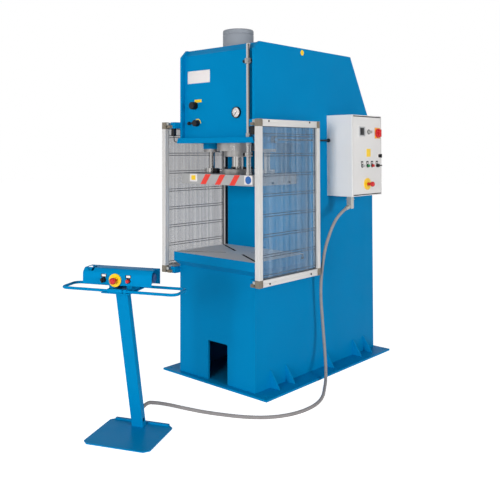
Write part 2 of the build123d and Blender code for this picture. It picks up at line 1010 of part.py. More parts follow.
def guard_brackets_right():
    """Angle brackets on the right side plate with the fixed hinge halves and pins."""
    leg_end = bracket_flange_y + bracket_leg
    brackets = []
    for level in hinge_levels():
        middle_z = level + hinge_height / 2
        low = middle_z - bracket_height / 2
        high = middle_z + bracket_height / 2
        flange_front = bracket_flange_y - bracket_plate
        bracket = block((half_body, half_body + bracket_plate), (bracket_flange_y, leg_end), (low, high))
        flange_end = hinge_x - hinge_barrel / 2
        bracket += block((half_body, flange_end), (flange_front, bracket_flange_y), (low, high))
        half_top = middle_z - hinge_half_gap / 2
        bracket += block(
            (hinge_x - hinge_barrel * 2, hinge_x),
            (hinge_y - hinge_leaf / 2, flange_front),
            (level, half_top),
        )
        bracket += bar(hinge_barrel, (hinge_x, hinge_y, level), (hinge_x, hinge_y, half_top))
        bracket += bar(hinge_pin, (hinge_x, hinge_y, half_top), (hinge_x, hinge_y, level + hinge_height))
        brackets.append(bracket)
    return brackets


def guard_frame_right():
    """Guard frame: two posts, two rails, four corner blocks and the moving hinge halves."""
    inner = guard_outer_x - guard_profile
    across = (inner, guard_outer_x)
    front_post = (guard_front, guard_front + guard_profile)
    back_post = (guard_back - guard_profile, guard_back)
    middle_x = (inner + guard_outer_x) / 2
    groove = (middle_x - guard_groove / 2, middle_x + guard_groove / 2)
    low = guard_bottom + guard_corner_height
    high = guard_top - guard_corner_height
    front_edge = front_post[1]
    back_edge = back_post[0]
    pieces = []
    posts = []
    for span, slot in (
        (front_post, (front_edge - guard_groove_depth, front_edge + 1)),
        (back_post, (back_edge - 1, back_edge + guard_groove_depth)),
    ):
        post = block(across, span, (low, high))
        post = chamfer(post.edges().filter_by(Axis.Z), guard_edge)
        posts.append(post - block(groove, slot, (low - 1, high + 1)))
    for level in hinge_levels():
        half_bottom = level + (hinge_height + hinge_half_gap) / 2
        top = level + hinge_height
        leaf_sides = (hinge_y - hinge_leaf / 2, hinge_y + hinge_leaf / 2)
        leaf = block((hinge_x, inner), leaf_sides, (half_bottom, top))
        leaf += bar(hinge_barrel, (hinge_x, hinge_y, half_bottom), (hinge_x, hinge_y, top))
        bore = hinge_pin + 2 * running_gap
        pieces.append(leaf - bar(bore, (hinge_x, hinge_y, half_bottom - 1), (hinge_x, hinge_y, top + 1)))
    rail_bottom = guard_bottom + (guard_corner_height - guard_rail_height) / 2
    rail_top = guard_top - (guard_corner_height - guard_rail_height) / 2
    for limits, slot in (
        ((rail_bottom, rail_bottom + guard_rail_height),
         (rail_bottom + guard_rail_height - guard_groove_depth, rail_bottom + guard_rail_height + 1)),
        ((rail_top - guard_rail_height, rail_top),
         (rail_top - guard_rail_height - 1, rail_top - guard_rail_height + guard_groove_depth)),
    ):
        rail = block(across, (front_edge, back_edge), limits)
        rail = chamfer(rail.edges().filter_by(Axis.Y), guard_edge)
        pieces.append(rail - block(groove, (front_edge - 1, back_edge + 1), slot))
    for span in (front_post, back_post):
        for limits in ((guard_bottom, low), (high, guard_top)):
            corner = block(across, span, limits)
            pieces.append(chamfer(corner.edges().filter_by(Axis.Z), guard_corner_round))
    return posts + pieces


def guard_panel_right():
    """Clear sheet held in the grooves of the guard frame."""
    middle_x = guard_outer_x - guard_profile / 2
    near = guard_front + guard_profile - guard_groove_depth + guard_sheet_gap
    far = guard_back - guard_profile + guard_groove_depth - guard_sheet_gap
    rail_inset = (guard_corner_height + guard_rail_height) / 2
    low = guard_bottom + rail_inset - guard_groove_depth + guard_sheet_gap
    high = guard_top - rail_inset + guard_groove_depth - guard_sheet_gap
    sheet = block((middle_x - guard_sheet / 2, middle_x + guard_sheet / 2), (near, far), (low, high))
    corner_keep = guard_corner_height - rail_inset + guard_groove_depth
    for y_limits in ((near - 1, near + guard_groove_depth), (far - guard_groove_depth, far + 1)):
        for z_limits in ((low - 1, low + corner_keep), (high - corner_keep, high + 1)):
            sheet -= block((middle_x - guard_sheet, middle_x + guard_sheet), y_limits, z_limits)
    return sheet


def guard_switch_right():
    """Guard switch under the top bracket, with a short cable into the head."""
    top = hinge_levels()[1] + (hinge_height - bracket_height) / 2
    flange_front = bracket_flange_y - bracket_plate
    right = half_body + bracket_plate + guard_switch_width
    body = block(
        (half_body + bracket_plate, right),
        (flange_front, flange_front + guard_switch_depth),
        (top - guard_switch_height, top),
    )
    cable_x = half_body + bracket_plate + guard_switch_width / 2
    start_y = flange_front + guard_switch_depth / 2
    start_z = top - guard_switch_height
    loop = FilletPolyline(
        (cable_x, start_y, start_z),
        (cable_x, start_y + cable_lead, start_z - cable_drop),
        (cable_x - cable_low_swing, start_y + cable_low_reach, start_z - cable_sag),
        (cable_x - cable_high_swing, start_y + cable_high_reach, start_z - cable_high_drop),
        (half_body + cable_end_run, start_y + cable_end_reach, start_z + cable_end_rise),
        (half_body, start_y + cable_end_reach, start_z + cable_end_rise),
        radius=(cable_first_bend, cable_second_bend, cable_third_bend, cable_last_bend),
    )
    ring = Plane(origin=loop @ 0, z_dir=loop % 0) * Circle(guard_cable / 2)
    return [body, sweep(ring, path=loop)]


def oil_tank():
    """Oil tank on the base plate inside the column, with its lid."""
    half = tank_width / 2
    top = base_thickness + tank_height
    tank = block((-half, half), (tank_front, tank_front + tank_depth), (base_thickness, top))
    lid_half = half + tank_lid_overhang
    lid_front = tank_front - tank_lid_overhang
    lid_back = tank_front + tank_depth + tank_lid_overhang
    return tank + block((-lid_half, lid_half), (lid_front, lid_back), (top, top + tank_lid))


def hydraulic_unit():
    """Electric motor with the pump in the tank, valve block and pressure pipe to the cylinder."""
    lid_top = base_thickness + tank_height + tank_lid
    motor_x = tank_width / 4
    motor_y = tank_front + tank_depth / 2
    motor = turned(
        motor_x, motor_y,
        (
            (motor_foot_diameter, lid_top, lid_top + motor_foot),
            (motor_diameter, lid_top + motor_foot, lid_top + motor_height),
        ),
    )
    motor = fillet(motor.edges().sort_by(Axis.Z)[-1], motor_foot)
    valve_x = -tank_width / 4
    valve_front = tank_front + tank_lid_overhang
    valve = block(
        (valve_x - valve_block_width / 2, valve_x + valve_block_width / 2),
        (valve_front, valve_front + valve_block_depth),
        (lid_top, lid_top + valve_block_height),
    )
    pipe_y = valve_front + valve_block_depth / 2
    pipe_top = cylinder_top - cylinder_cap - pipe_top_below_cap
    pipe_top = min(pipe_top, body_top - rear_sheet - pressure_pipe * 2)
    pipe_end = cylinder_diameter / 2
    route = FilletPolyline(
        (valve_x, pipe_y, lid_top + valve_block_height),
        (valve_x, pipe_y, pipe_top),
        (0, pipe_y, pipe_top),
        (0, pipe_end, pipe_top),
        radius=pressure_pipe * 2,
    )
    pipe = sweep(Plane(origin=route @ 0, z_dir=route % 0) * Circle(pressure_pipe / 2), path=route)
    pipe -= turned(0, 0, ((cylinder_diameter, pipe_top - pressure_pipe, pipe_top + pressure_pipe),))
    return [motor, valve, pipe]


def control_box():
    """Sheet steel box, open towards the door, with a folded rim and fixed hinge pins."""
    y_limits = (box_front, box_front + box_length)
    z_limits = (box_bottom, box_bottom + box_height)
    shell = block((half_body, box_outer), y_limits, z_limits)
    shell = fillet(shell.edges().filter_by(Axis.Z).sort_by(Axis.X)[-2:], box_corner)
    shell -= block(
        (half_body + box_sheet, door_back - box_sheet),
        (y_limits[0] + box_sheet, y_limits[1] - box_sheet),
        (z_limits[0] + box_sheet, z_limits[1] - box_sheet),
    )
    shell -= block(
        (door_back - box_sheet * 2, box_outer + 1),
        (y_limits[0] + box_rim, y_limits[1] - box_rim),
        (z_limits[0] + box_rim, z_limits[1] - box_rim),
    )
    x, y = door_pivot_place()
    low = z_limits[0] + box_rim
    high = z_limits[1] - box_rim
    shell += bar(door_pivot, (x, y, low), (x, y, low + door_gap + door_pivot_height))
    return shell + bar(door_pivot, (x, y, high - door_gap - door_pivot_height), (x, y, high))


def door_pivot_place():
    """The door's vertical pivot, close to its front edge."""
    return box_outer - door_pivot_depth, door_limits()[0][0] + door_pivot_inset


def box_board():
    """Mounting plate on spacers inside the box, with two rails of switching devices."""
    near = box_front + box_board_margin
    far = box_front + box_length - box_board_margin
    low = box_bottom + box_board_margin
    high = box_bottom + box_height - box_board_margin
    board_back = half_body + box_sheet + box_board_gap
    board_front = board_back + box_board_sheet
    board = block((board_back, board_front), (near, far), (low, high))
    for y in (near + box_board_margin, far - box_board_margin):
        for z in (low + box_board_margin, high - box_board_margin):
            board += bar(board_post, (half_body + box_sheet, y, z), (board_back, y, z))
    third = (high - low) / 3
    for z in (low + third, high - third):
        board += block(
            (board_front, board_front + device_depth),
            (near + box_board_margin, far - box_board_margin),
            (z - device_height / 2, z + device_height / 2),
        )
    return board


def door_limits():
    """The door's outline in y and z, inside the rim of the box."""
    near = box_front + box_rim + door_gap
    far = box_front + box_length - box_rim - door_gap
    low = box_bottom + box_rim + door_gap
    high = box_bottom + box_height - box_rim - door_gap
    return (near, far), (low, high)


def box_door():
    """Folded door of the box with holes for its fittings."""
    y_limits, z_limits = door_limits()
    door = block((door_back, box_outer), y_limits, z_limits)
    door -= block(
        (door_back - 1, box_outer - door_sheet),
        (y_limits[0] + door_sheet, y_limits[1] - door_sheet),
        (z_limits[0] + door_sheet, z_limits[1] - door_sheet),
    )
    for y, z, diameter in door_holes():
        door -= bar(diameter, (door_back - 1, y, z), (box_outer + 1, y, z))
    x, y = door_pivot_place()
    return door - bar(door_pivot + 2 * running_gap, (x, y, z_limits[0] - 1), (x, y, z_limits[1] + 1))


def on_door(place):
    """The y and z of a place on the door."""
    return box_front + place[0], box_bottom + place[1]


def door_holes():
    """Place and diameter of each hole in the door."""
    holes = []
    for place in (button_grey_y, button_green_y, button_red_y, mode_selector_y):
        holes.append((box_front + place, button_row, button_diameter + 2 * button_gap))
    for place in (key_place, lock_place):
        holes.append((*on_door(place), button_diameter + 2 * button_gap))
    for place in (main_switch_place, box_stop_place):
        holes.append((*on_door(place), stop_neck_diameter + 2 * button_gap))
    return holes


def ring_collar(y, z, diameter, bore, depth):
    """A flat ring on the outside of the door."""
    ring = bar(diameter, (box_outer, y, z), (box_outer + depth, y, z))
    ring = chamfer(ring.edges().filter_by(GeomType.CIRCLE).sort_by(Axis.X)[-1], collar_edge)
    return ring - bar(bore, (box_outer - 1, y, z), (box_outer + depth + 1, y, z))


def door_fittings():
    """Display, button collars, switch plate and stop-button plate on the door."""
    y, z = on_door(display_place)
    display = block(
        (box_outer, box_outer + display_depth),
        (y - display_width / 2, y + display_width / 2),
        (z - display_height / 2, z + display_height / 2),
    )
    display = chamfer(display.faces().sort_by(Axis.X)[-1].edges(), display_edge)
    bore = button_diameter + 2 * button_gap
    pieces = [display]
    for place in (button_grey_y, button_green_y, button_red_y, mode_selector_y):
        pieces.append(ring_collar(box_front + place, button_row, collar_diameter, bore, collar_depth))
    for place in (key_place, lock_place):
        pieces.append(ring_collar(*on_door(place), collar_diameter, bore, collar_depth / 2))
    y, z = on_door(main_switch_place)
    half = main_switch_plate / 2
    plate_end = box_outer + main_switch_plate_depth
    plate = block((box_outer, plate_end), (y - half, y + half), (z - half, z + half))
    plate = chamfer(plate.edges().filter_by(Axis.X), main_switch_corner)
    neck = stop_neck_diameter + 2 * button_gap
    pieces.append(plate - bar(neck, (box_outer - 1, y, z), (plate_end + 1, y, z)))
    y, z = on_door(box_stop_place)
    pieces.append(ring_collar(y, z, stop_collar_diameter, neck, stop_collar_depth))
    return pieces


def push_button(y, z):
    """Push button: head outside the door and its stem behind."""
    head_end = box_outer + collar_depth + button_rise
    button = bar(button_diameter, (door_back, y, z), (head_end, y, z))
    return chamfer(button.edges().filter_by(GeomType.CIRCLE).sort_by(Axis.X)[-1], button_edge)


def mode_selector():
    """Selector switch with a long lever."""
    y, z = box_front + mode_selector_y, button_row
    start = box_outer + collar_depth + knob_gap
    end = start + button_rise
    knob = bar(collar_diameter - knob_inset, (start, y, z), (end, y, z))
    knob += block(
        (start + grip_start, end + grip_rise),
        (y - mode_grip_tail, y + mode_grip_reach),
        (z - mode_grip_width / 2, z + mode_grip_width / 2),
    )
    return knob + bar(button_diameter, (door_back, y, z), (start, y, z))


def main_switch_knob():
    """Round knob of the main switch with a grip bar across it."""
    y, z = on_door(main_switch_place)
    start = box_outer + main_switch_plate_depth + knob_gap
    end = start + main_switch_depth
    knob = bar(main_switch_diameter, (start, y, z), (start + main_switch_depth / 2, y, z))
    half = main_switch_diameter / 2
    grip = block((start, end), (y - main_switch_grip / 2, y + main_switch_grip / 2), (z - half, z + half))
    grip = fillet(grip.faces().sort_by(Axis.X)[-1].edges(), main_switch_round)
    knob += grip
    return knob + bar(stop_neck_diameter, (door_back, y, z), (start, y, z))


def key_switch():
    """Lock barrel with its key."""
    y, z = on_door(key_place)
    start = box_outer + collar_depth / 2
    barrel_end = start + key_barrel
    barrel = bar(button_diameter, (door_back, y, z), (barrel_end, y, z))
    return barrel + block(
        (barrel_end, barrel_end + key_length),
        (y - key_thickness / 2, y + key_thickness / 2),
        (z - key_width / 2, z + key_width / 2),
    )


def door_lock():
    """Quarter-turn lock of the door with a low wing knob."""
    y, z = on_door(lock_place)
    start = box_outer + collar_depth / 2
    lock = bar(button_diameter, (door_back, y, z), (start + lock_barrel, y, z))
    lock += bar(collar_diameter, (start + knob_gap, y, z), (start + lock_washer, y, z))
    return lock + block(
        (start + lock_barrel, start + lock_rise),
        (y - lock_wing_width / 2, y + lock_wing_width / 2),
        (z - lock_wing_height / 2, z + lock_wing_height / 2),
    )


def mushroom(start, direction, neck_diameter, neck_length, head_diameter, head_length):
    """A mushroom-headed button: neck and domed head along a direction."""
    place = Plane(origin=start, z_dir=direction)
    neck = Cylinder(neck_diameter / 2, neck_length + 1, align=upright)
    head = Cylinder(head_diameter / 2, head_length, align=upright)
    head = fillet(head.edges().filter_by(GeomType.CIRCLE).sort_by(Axis.Z)[-1], head_length * dome_share)
    head = fillet(head.edges().filter_by(GeomType.CIRCLE).sort_by(Axis.Z)[0], head_length * rim_share)
    return place * (neck + Pos(0, 0, neck_length) * head)


def box_stop_button():
    """Emergency stop button of the box, on a long neck."""
    y, z = on_door(box_stop_place)
    neck = door_depth + stop_neck
    return mushroom((door_back, y, z), (1, 0, 0), stop_neck_diameter, neck, stop_head_diameter, stop_head)


def cable_fittings():
    """Cable outlet under the box with the conduit's gland, and the gland on the post."""
    half = outlet_size / 2
    bottom = box_bottom - outlet_drop
    across = (outlet_x - half, outlet_x + half)
    hood = block(across, (outlet_y - half, outlet_y + half), (bottom, box_bottom))
    hood = chamfer(hood.edges().sort_by(Axis.Z)[:4], outlet_corner)
    wide = half + outlet_flange
    flange_top = box_bottom - outlet_flange_top
    hood += block(
        (outlet_x - wide, outlet_x + wide),
        (outlet_y - wide, outlet_y + wide),
        (flange_top - outlet_flange_height, flange_top),
    )
    hood += hex_gland(outlet_gland_start(), outlet_gland_direction(), outlet_size / 2)
    return [hood, hex_gland(post_gland_start(), post_gland_direction(), 0)]


def hex_gland(start, direction, root):
    """Hexagonal conduit gland that stands on a face, sunk into it by a root."""
    place = Plane(origin=start - direction * root, z_dir=direction)
    return place * extrude(RegularPolygon(gland_hex / 2, 6), root + conduit_gland)


def outlet_gland_start():
    """Foot of the conduit's gland on the front face of the cable outlet."""
    half = outlet_size / 2
    return Vector(outlet_x, outlet_y - half, box_bottom - outlet_drop + half)


def outlet_gland_direction():
    """Direction in which the conduit leaves the cable outlet, forwards and down."""
    return Vector(0, -cos(radians(gland_tilt)), -sin(radians(gland_tilt)))


def post_back(z):
    """Distance of the post's back face behind the console's origin, at a height."""
    return post_depth / 2 / cos(radians(post_lean)) - z * tan(radians(post_lean))


def post_gland_direction():
    """Direction in which the conduit leaves the post."""
    lean = radians(post_lean)
    local = Vector(0, cos(lean), sin(lean))
    return console_plane.from_local_coords(local) - console_plane.origin


def post_gland_start():
    """Foot of the conduit's gland on the back face of the post."""
    return console_plane.from_local_coords(Vector(0, post_back(conduit_entry_z), conduit_entry_z))


def pedestal_frame():
    """Foot plate, leaning rectangular post and head plate, welded together."""
    half = foot_width / 2
    foot = block((-half, half), (foot_front, foot_back), (0, foot_thickness))
    foot = chamfer(foot.edges().filter_by(Axis.Z), foot_corner)
    foot += block(
        (foot_corner - half, half - foot_corner),
        (foot_back - foot_strip, foot_back),
        (foot_thickness, foot_thickness + foot_strip_height),
    )
    lean = radians(post_lean)
    depth = post_depth / cos(lean)
    low = Pos(0, -foot_thickness * tan(lean), foot_thickness)
    high = Pos(0, -post_top * tan(lean), post_top)
    post = loft([low * Rectangle(post_width, depth), high * Rectangle(post_width, depth)])
    post = fillet(post.edges().filter_by(lambda edge: edge.length > post_top / 2), post_corner)
    wall = 2 * post_wall
    hollow = Rectangle(post_width - wall, depth - wall)
    post -= loft([low * hollow, high * hollow])
    hole_y = -post_hole_z * tan(lean)
    post -= bar(post_hole, (post_width / 2 - wall, hole_y, post_hole_z), (post_width, hole_y, post_hole_z))
    head = block(
        (head_plate_shift - head_plate_width / 2, head_plate_shift + head_plate_width / 2),
        (rail_front - head_plate_margin, rail_back + head_plate_margin),
        (post_top, post_top + head_plate_thickness),
    )
    for x in (head_plate_shift - console_foot_spacing / 2, head_plate_shift + console_foot_spacing / 2):
        head += block(
            (x - console_foot_width / 2, x + console_foot_width / 2),
            (console_front + console_foot_inset, console_back - console_foot_inset),
            (post_top + head_plate_thickness, console_bottom),
        )
    return console_plane * (foot + post + head)


def rail_height():
    """Height of the handrail's centre line, on the head plate."""
    return post_top + head_plate_thickness + rail_diameter / 2


def handrail():
    """Handrail: a closed tube loop round the console, with its front clamp."""
    z = rail_height()
    path = Polyline(
        (rail_left, rail_front, z),
        (rail_right, rail_front, z),
        (rail_right, rail_back, z),
        (rail_left, rail_back, z),
        close=True,
    )
    path = fillet(path.vertices(), rail_corner)
    path = path.wire()
    start = path @ 0
    ring = Plane(origin=start, z_dir=path % 0) * Circle(rail_diameter / 2)
    tube = sweep(ring, path=path)
    clamp = block(
        (clamp_left, clamp_left + clamp_length),
        (rail_front - clamp_size / 2, rail_front + clamp_size / 2),
        (z - rail_diameter / 2, z + clamp_size / 2),
    )
    clamp = chamfer(clamp.edges().filter_by(Axis.X), clamp_corner)
    return console_plane * (tube + clamp)


def console_outline(inset):
    """Section of the console housing, drawn inside the outer faces by an inset."""
    points = [
        (console_front, console_bottom),
        (console_front, console_bottom + console_front_height),
        (console_back - console_top_flat, console_bottom + console_back_height),
        (console_back, console_bottom + console_back_height),
        (console_back, console_bottom),
    ]
    face = make_face(Polyline(*points, close=True))
    bends = face.vertices().sort_by(Axis.Y)
    face = fillet(bends[:2].sort_by_distance((console_front, console_bottom + console_front_height, 0))[:1],
                  console_bend)
    return offset(face, -inset, kind=Kind.INTERSECTION) if inset else face


def console_shell():
    """Folded housing of the console: open ends with a recess for each palm button."""
    length = console_right - console_left
    shell = extrude(Plane.YZ.offset(console_left) * console_outline(0), length)
    inner = console_outline(console_sheet)
    middle_length = length - 2 * console_end_depth - 2 * console_sheet
    shell -= extrude(Plane.YZ.offset(console_left - 1) * inner, console_end_depth + 1)
    shell -= extrude(Plane.YZ.offset(console_right - console_end_depth) * inner, console_end_depth + 1)
    middle_start = console_left + console_end_depth + console_sheet
    shell -= extrude(Plane.YZ.offset(middle_start) * inner, middle_length)
    top = console_bottom + console_back_height
    for end, inward in ((console_left, 1), (console_right, -1)):
        notch = make_face(
            Polyline(
                (end - inward, console_front + 2 * console_bend + console_notch),
                (end + inward * console_notch, palm_y),
                (end - inward, console_back - console_notch),
                close=True,
            )
        )
        shell -= Pos(0, 0, top - console_notch) * extrude(notch, console_notch + 1)
    for x in (console_left + console_end_depth + 1, console_right - console_end_depth - 1):
        hole = palm_neck_diameter + 2 * button_gap
        shell -= bar(hole, (x - hole_reach, palm_y, palm_z), (x + hole_reach, palm_y, palm_z))
    for x, diameter in (
        (console_stop_x, stop_neck_diameter),
        (console_selector_x, button_diameter),
        (console_button_x, button_diameter),
    ):
        hole = diameter + 2 * button_gap
        hole_end = (x, console_front + hole_reach, console_row_z)
        shell -= bar(hole, (x, console_front - 1, console_row_z), hole_end)
    return console_plane * shell


def console_collar(x, diameter, bore, depth):
    """A ring on the front of the console."""
    ring = bar(diameter, (x, console_front, console_row_z), (x, console_front - depth, console_row_z))
    ring = chamfer(ring.edges().filter_by(GeomType.CIRCLE).sort_by(Axis.Y)[0], collar_edge)
    bore_end = (x, console_front - depth - 1, console_row_z)
    return ring - bar(bore, (x, console_front + 1, console_row_z), bore_end)


def console_fittings():
    """Collars of the console's buttons and the plate of its stop button."""
    small = button_diameter + 2 * button_gap
    large = stop_neck_diameter + 2 * button_gap
    return [
        console_plane * console_collar(console_selector_x, collar_diameter, small, collar_depth),
        console_plane * console_collar(console_button_x, collar_diameter, small, collar_depth),
        console_plane * console_collar(console_stop_x, console_stop_collar, large, stop_collar_depth),
    ]


def palm_button(end, outward):
    """Palm button that stands in the recess at one end of the console."""
    wall = end - outward * console_end_depth
    start = (wall - outward * palm_stem, palm_y, palm_z)
    neck = palm_stem + palm_neck
    button = mushroom(start, (outward, 0, 0), palm_neck_diameter, neck, palm_diameter, palm_head)
    return console_plane * button


def console_selector():
    """Small selector knob of the console."""
    start = console_front - collar_depth - knob_gap
    end = start - button_rise
    x, z = console_selector_x, console_row_z
    knob = bar(collar_diameter - knob_inset, (x, start, z), (x, end, z))
    knob += block(
        (x - console_grip_width / 2, x + console_grip_width / 2),
        (end - grip_rise, start - grip_start),
        (z - console_grip_height / 2, z + console_grip_height / 2),
    )
    return console_plane * (knob + bar(button_diameter, (x, console_front + door_depth, z), (x, start, z)))


def console_button():
    """Push button of the console."""
    x, z = console_button_x, console_row_z
    end = console_front - collar_depth - button_rise
    button = bar(button_diameter, (x, console_front + door_depth, z), (x, end, z))
    rim = button.edges().filter_by(GeomType.CIRCLE).sort_by(Axis.Y)[0]
    return console_plane * chamfer(rim, button_edge)


def console_stop_button():
    """Emergency stop button of the console."""
    start = (console_stop_x, console_front + door_depth, console_row_z)
    neck = door_depth + console_stop_neck
    button = mushroom(start, (0, -1, 0), stop_neck_diameter, neck, console_stop_head, stop_head)
    return console_plane * button


def conduit():
    """Flexible conduit from the box, down beside the column and over the floor to the post."""
    floor = conduit_diameter / 2
    start = outlet_gland_start() + outlet_gland_direction() * conduit_gland
    end = post_gland_start() + post_gland_direction() * conduit_gland
    points = [start, start + outlet_gland_direction() * conduit_first_run]
    points += [Vector(half_body + out, y, z) for out, y, z in conduit_fall]
    points += [Vector(half_body + out, y, floor) for out, y in conduit_beside]
    points += [Vector(x, y, floor + rise) for x, y, rise in conduit_across]
    points += [end + post_gland_direction() * conduit_last_run, end]
    radii = []
    for before, here, after in zip(points, points[1:], points[2:]):
        turn = (here - before).get_angle(after - here)
        run = min((here - before).length, (after - here).length)
        radii.append(bend_share * run / tan(radians(turn) / 2))
    path = FilletPolyline(*points, radius=radii)
    ring = Plane(origin=path @ 0, z_dir=path % 0) * Circle(conduit_diameter / 2)
    return sweep(ring, path=path)


def build():
    """Write every sub-part."""
    os.makedirs("parts", exist_ok=True)
    save("base_plate", base_plate())
    save("base_gussets", *base_gussets())
    save("side_plate_right", side_plate_right())
    save("side_plate_left", mirrored(side_plate_right()))
    save("lower_front_panel", lower_front_panel())
    save("throat_plate", throat_wall())
    save("table_plate", table_plate())
    save("table_plug", table_plug())
    save("table_ribs", *table_ribs())
    save("head_floor_plate", head_floor_plate())
    save("head_front_cover", head_front_cover())
    save("rear_cover", rear_cover())
    save("cylinder_barrel", cylinder_barrel())
    save("cylinder_gland", cylinder_gland())
    save("guide_housings", *guide_housings())
    save("guide_bushes", *guide_bushes())
    save("oil_tank", oil_tank())
    save("hydraulic_unit", *hydraulic_unit())
    right_brackets = guard_brackets_right()
    left_brackets = [mirrored(bracket) for bracket in right_brackets]
    save("side_brackets", *right_brackets, *left_brackets, lever_boss_and_pin())
    right_switch = guard_switch_right()
    left_switch = [mirrored(piece) for piece in right_switch]
    save("position_switches", *right_switch, *left_switch, stroke_switch())
    save("gauge_case", gauge_case())
    save("control_box", control_box())
    save("box_board", box_board())
    save("cable_fittings", *cable_fittings())
    save("pedestal_frame", pedestal_frame())
    save("handrail", handrail())
    save("console_shell", console_shell())
    save("console_fittings", *console_fittings())
    save("conduit", conduit())

    save("piston_rod", piston_rod())
    save("ram_flange", ram_foot())
    save("platen", platen())
    save("guide_columns", *guide_columns())
    save("stroke_rod", stroke_rod())
    save("upper_stop", stroke_stop(upper_stop_bottom, upper_stop_height))
    save("lower_stop", stroke_stop(lower_stop_bottom, lower_stop_height))
    save("switch_roller", switch_roller())

    right_frame = guard_frame_right()
    save("guard_frame_right", *right_frame)
    save("guard_frame_left", *[mirrored(piece) for piece in right_frame])
    save("guard_panel_right", guard_panel_right())
    save("guard_panel_left", mirrored(guard_panel_right()))

    save("hand_lever", hand_lever())
    save("gauge_needle", gauge_needle())
    save("regulator_knob", regulator_knob())
    save("selector_lever", selector_lever())

    save("box_door", box_door())
    save("door_fittings", *door_fittings())
    save("main_switch_knob", main_switch_knob())
    save("key_switch", key_switch())
    save("door_lock", door_lock())
    for name, place in (
        ("button_grey", button_grey_y),
        ("button_green", button_green_y),
        ("button_red", button_red_y),
    ):
        save(name, push_button(box_front + place, button_row))
    save("mode_selector", mode_selector())
    save("box_stop_button", box_stop_button())

    save("palm_button_left", palm_button(console_left, -1))
    save("palm_button_right", palm_button(console_right, 1))
    save("console_selector", console_selector())
    save("console_button", console_button())
    save("console_stop_button", console_stop_button())


build()
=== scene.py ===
import math

import bmesh
import bpy
from mathutils import Matrix, Vector


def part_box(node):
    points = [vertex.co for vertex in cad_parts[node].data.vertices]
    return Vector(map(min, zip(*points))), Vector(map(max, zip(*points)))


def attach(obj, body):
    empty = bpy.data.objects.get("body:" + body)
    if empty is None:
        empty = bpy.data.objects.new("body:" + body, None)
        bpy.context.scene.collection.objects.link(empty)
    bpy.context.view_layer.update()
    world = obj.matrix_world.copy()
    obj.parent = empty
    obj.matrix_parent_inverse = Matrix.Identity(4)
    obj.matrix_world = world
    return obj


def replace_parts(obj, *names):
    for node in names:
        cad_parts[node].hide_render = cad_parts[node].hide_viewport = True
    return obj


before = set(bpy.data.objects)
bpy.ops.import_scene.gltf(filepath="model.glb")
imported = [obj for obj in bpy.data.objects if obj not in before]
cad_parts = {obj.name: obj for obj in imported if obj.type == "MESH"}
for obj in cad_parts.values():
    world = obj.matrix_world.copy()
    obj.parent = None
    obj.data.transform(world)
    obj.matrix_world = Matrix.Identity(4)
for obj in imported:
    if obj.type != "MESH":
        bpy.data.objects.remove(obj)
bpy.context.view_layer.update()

# Camera: stands in front of the press's right corner at about eye height and
# looks nearly level, with its frame shifted down to take in the floor.

camera_place = Vector((3.6122, -4.1258, 1.7759))
camera_yaw = 0.757012
camera_pitch = -0.027363
camera_roll = -0.001139

camera = bpy.data.objects.new("camera", bpy.data.cameras.new("camera"))
bpy.context.scene.collection.objects.link(camera)
camera.matrix_world = (
    Matrix.Translation(camera_place) @ Matrix.Rotation(camera_yaw, 4, "Z")
    @ Matrix.Rotation(math.pi / 2 - camera_pitch, 4, "X") @ Matrix.Rotation(camera_roll, 4, "Z"))
camera.data.sensor_width = 36
camera.data.lens = 49.534
camera.data.shift_x = 0.0752
camera.data.shift_y = -0.238
camera.data.clip_end = 100
bpy.context.scene.camera = camera

# Studio: a white floor and white surroundings, one large soft lamp in front, low enough
# to reach the throat of the press, one to the right and a weaker one to the left.

mm = 0.001
fill_strength = 0.27
floor_size = 60
floor_glow_share = 0.85
bpy.context.scene.view_settings.view_transform = "Standard"


def linear(colour):
    """Linear colour of an sRGB hex value."""
    parts = [int(colour[place:place + 2], 16) / 255 for place in (1, 3, 5)]
    return tuple(p / 12.92 if p <= 0.04045 else ((p + 0.055) / 1.055) ** 2.4 for p in parts) + (1,)


def add_node(owner, kind, settings=None, values=None, links=None):
    """Adds a node to a material or world: its settings, its sockets' values and what feeds them."""
    node = owner.node_tree.nodes.new("ShaderNode" + kind)
    for name, setting in (settings or {}).items():
        setattr(node, name, setting)
    for socket, value in (values or {}).items():
        node.inputs[socket].default_value = value
    for socket, output in (links or {}).items():
        owner.node_tree.links.new(output, node.inputs[socket])
    return node


def seen_directly(owner):
    """1 for the rays of the camera, of reflections and through clear sheet, and 0 for the rest."""
    path = add_node(owner, "LightPath")
    mirrored = add_node(owner, "Math", {"operation": "MAXIMUM"}, None, {
        0: path.outputs["Is Camera Ray"], 1: path.outputs["Is Glossy Ray"]})
    return add_node(owner, "Math", {"operation": "MAXIMUM"}, None, {
        0: mirrored.outputs[0], 1: path.outputs["Is Transmission Ray"]}).outputs[0]


surroundings = bpy.data.worlds.new("surroundings")
surroundings.use_nodes = True
bpy.context.scene.world = surroundings
surroundings.node_tree.nodes.clear()
fill_light = add_node(
    surroundings, "Background", None, {"Color": linear("#F4F6FA"), "Strength": fill_strength})
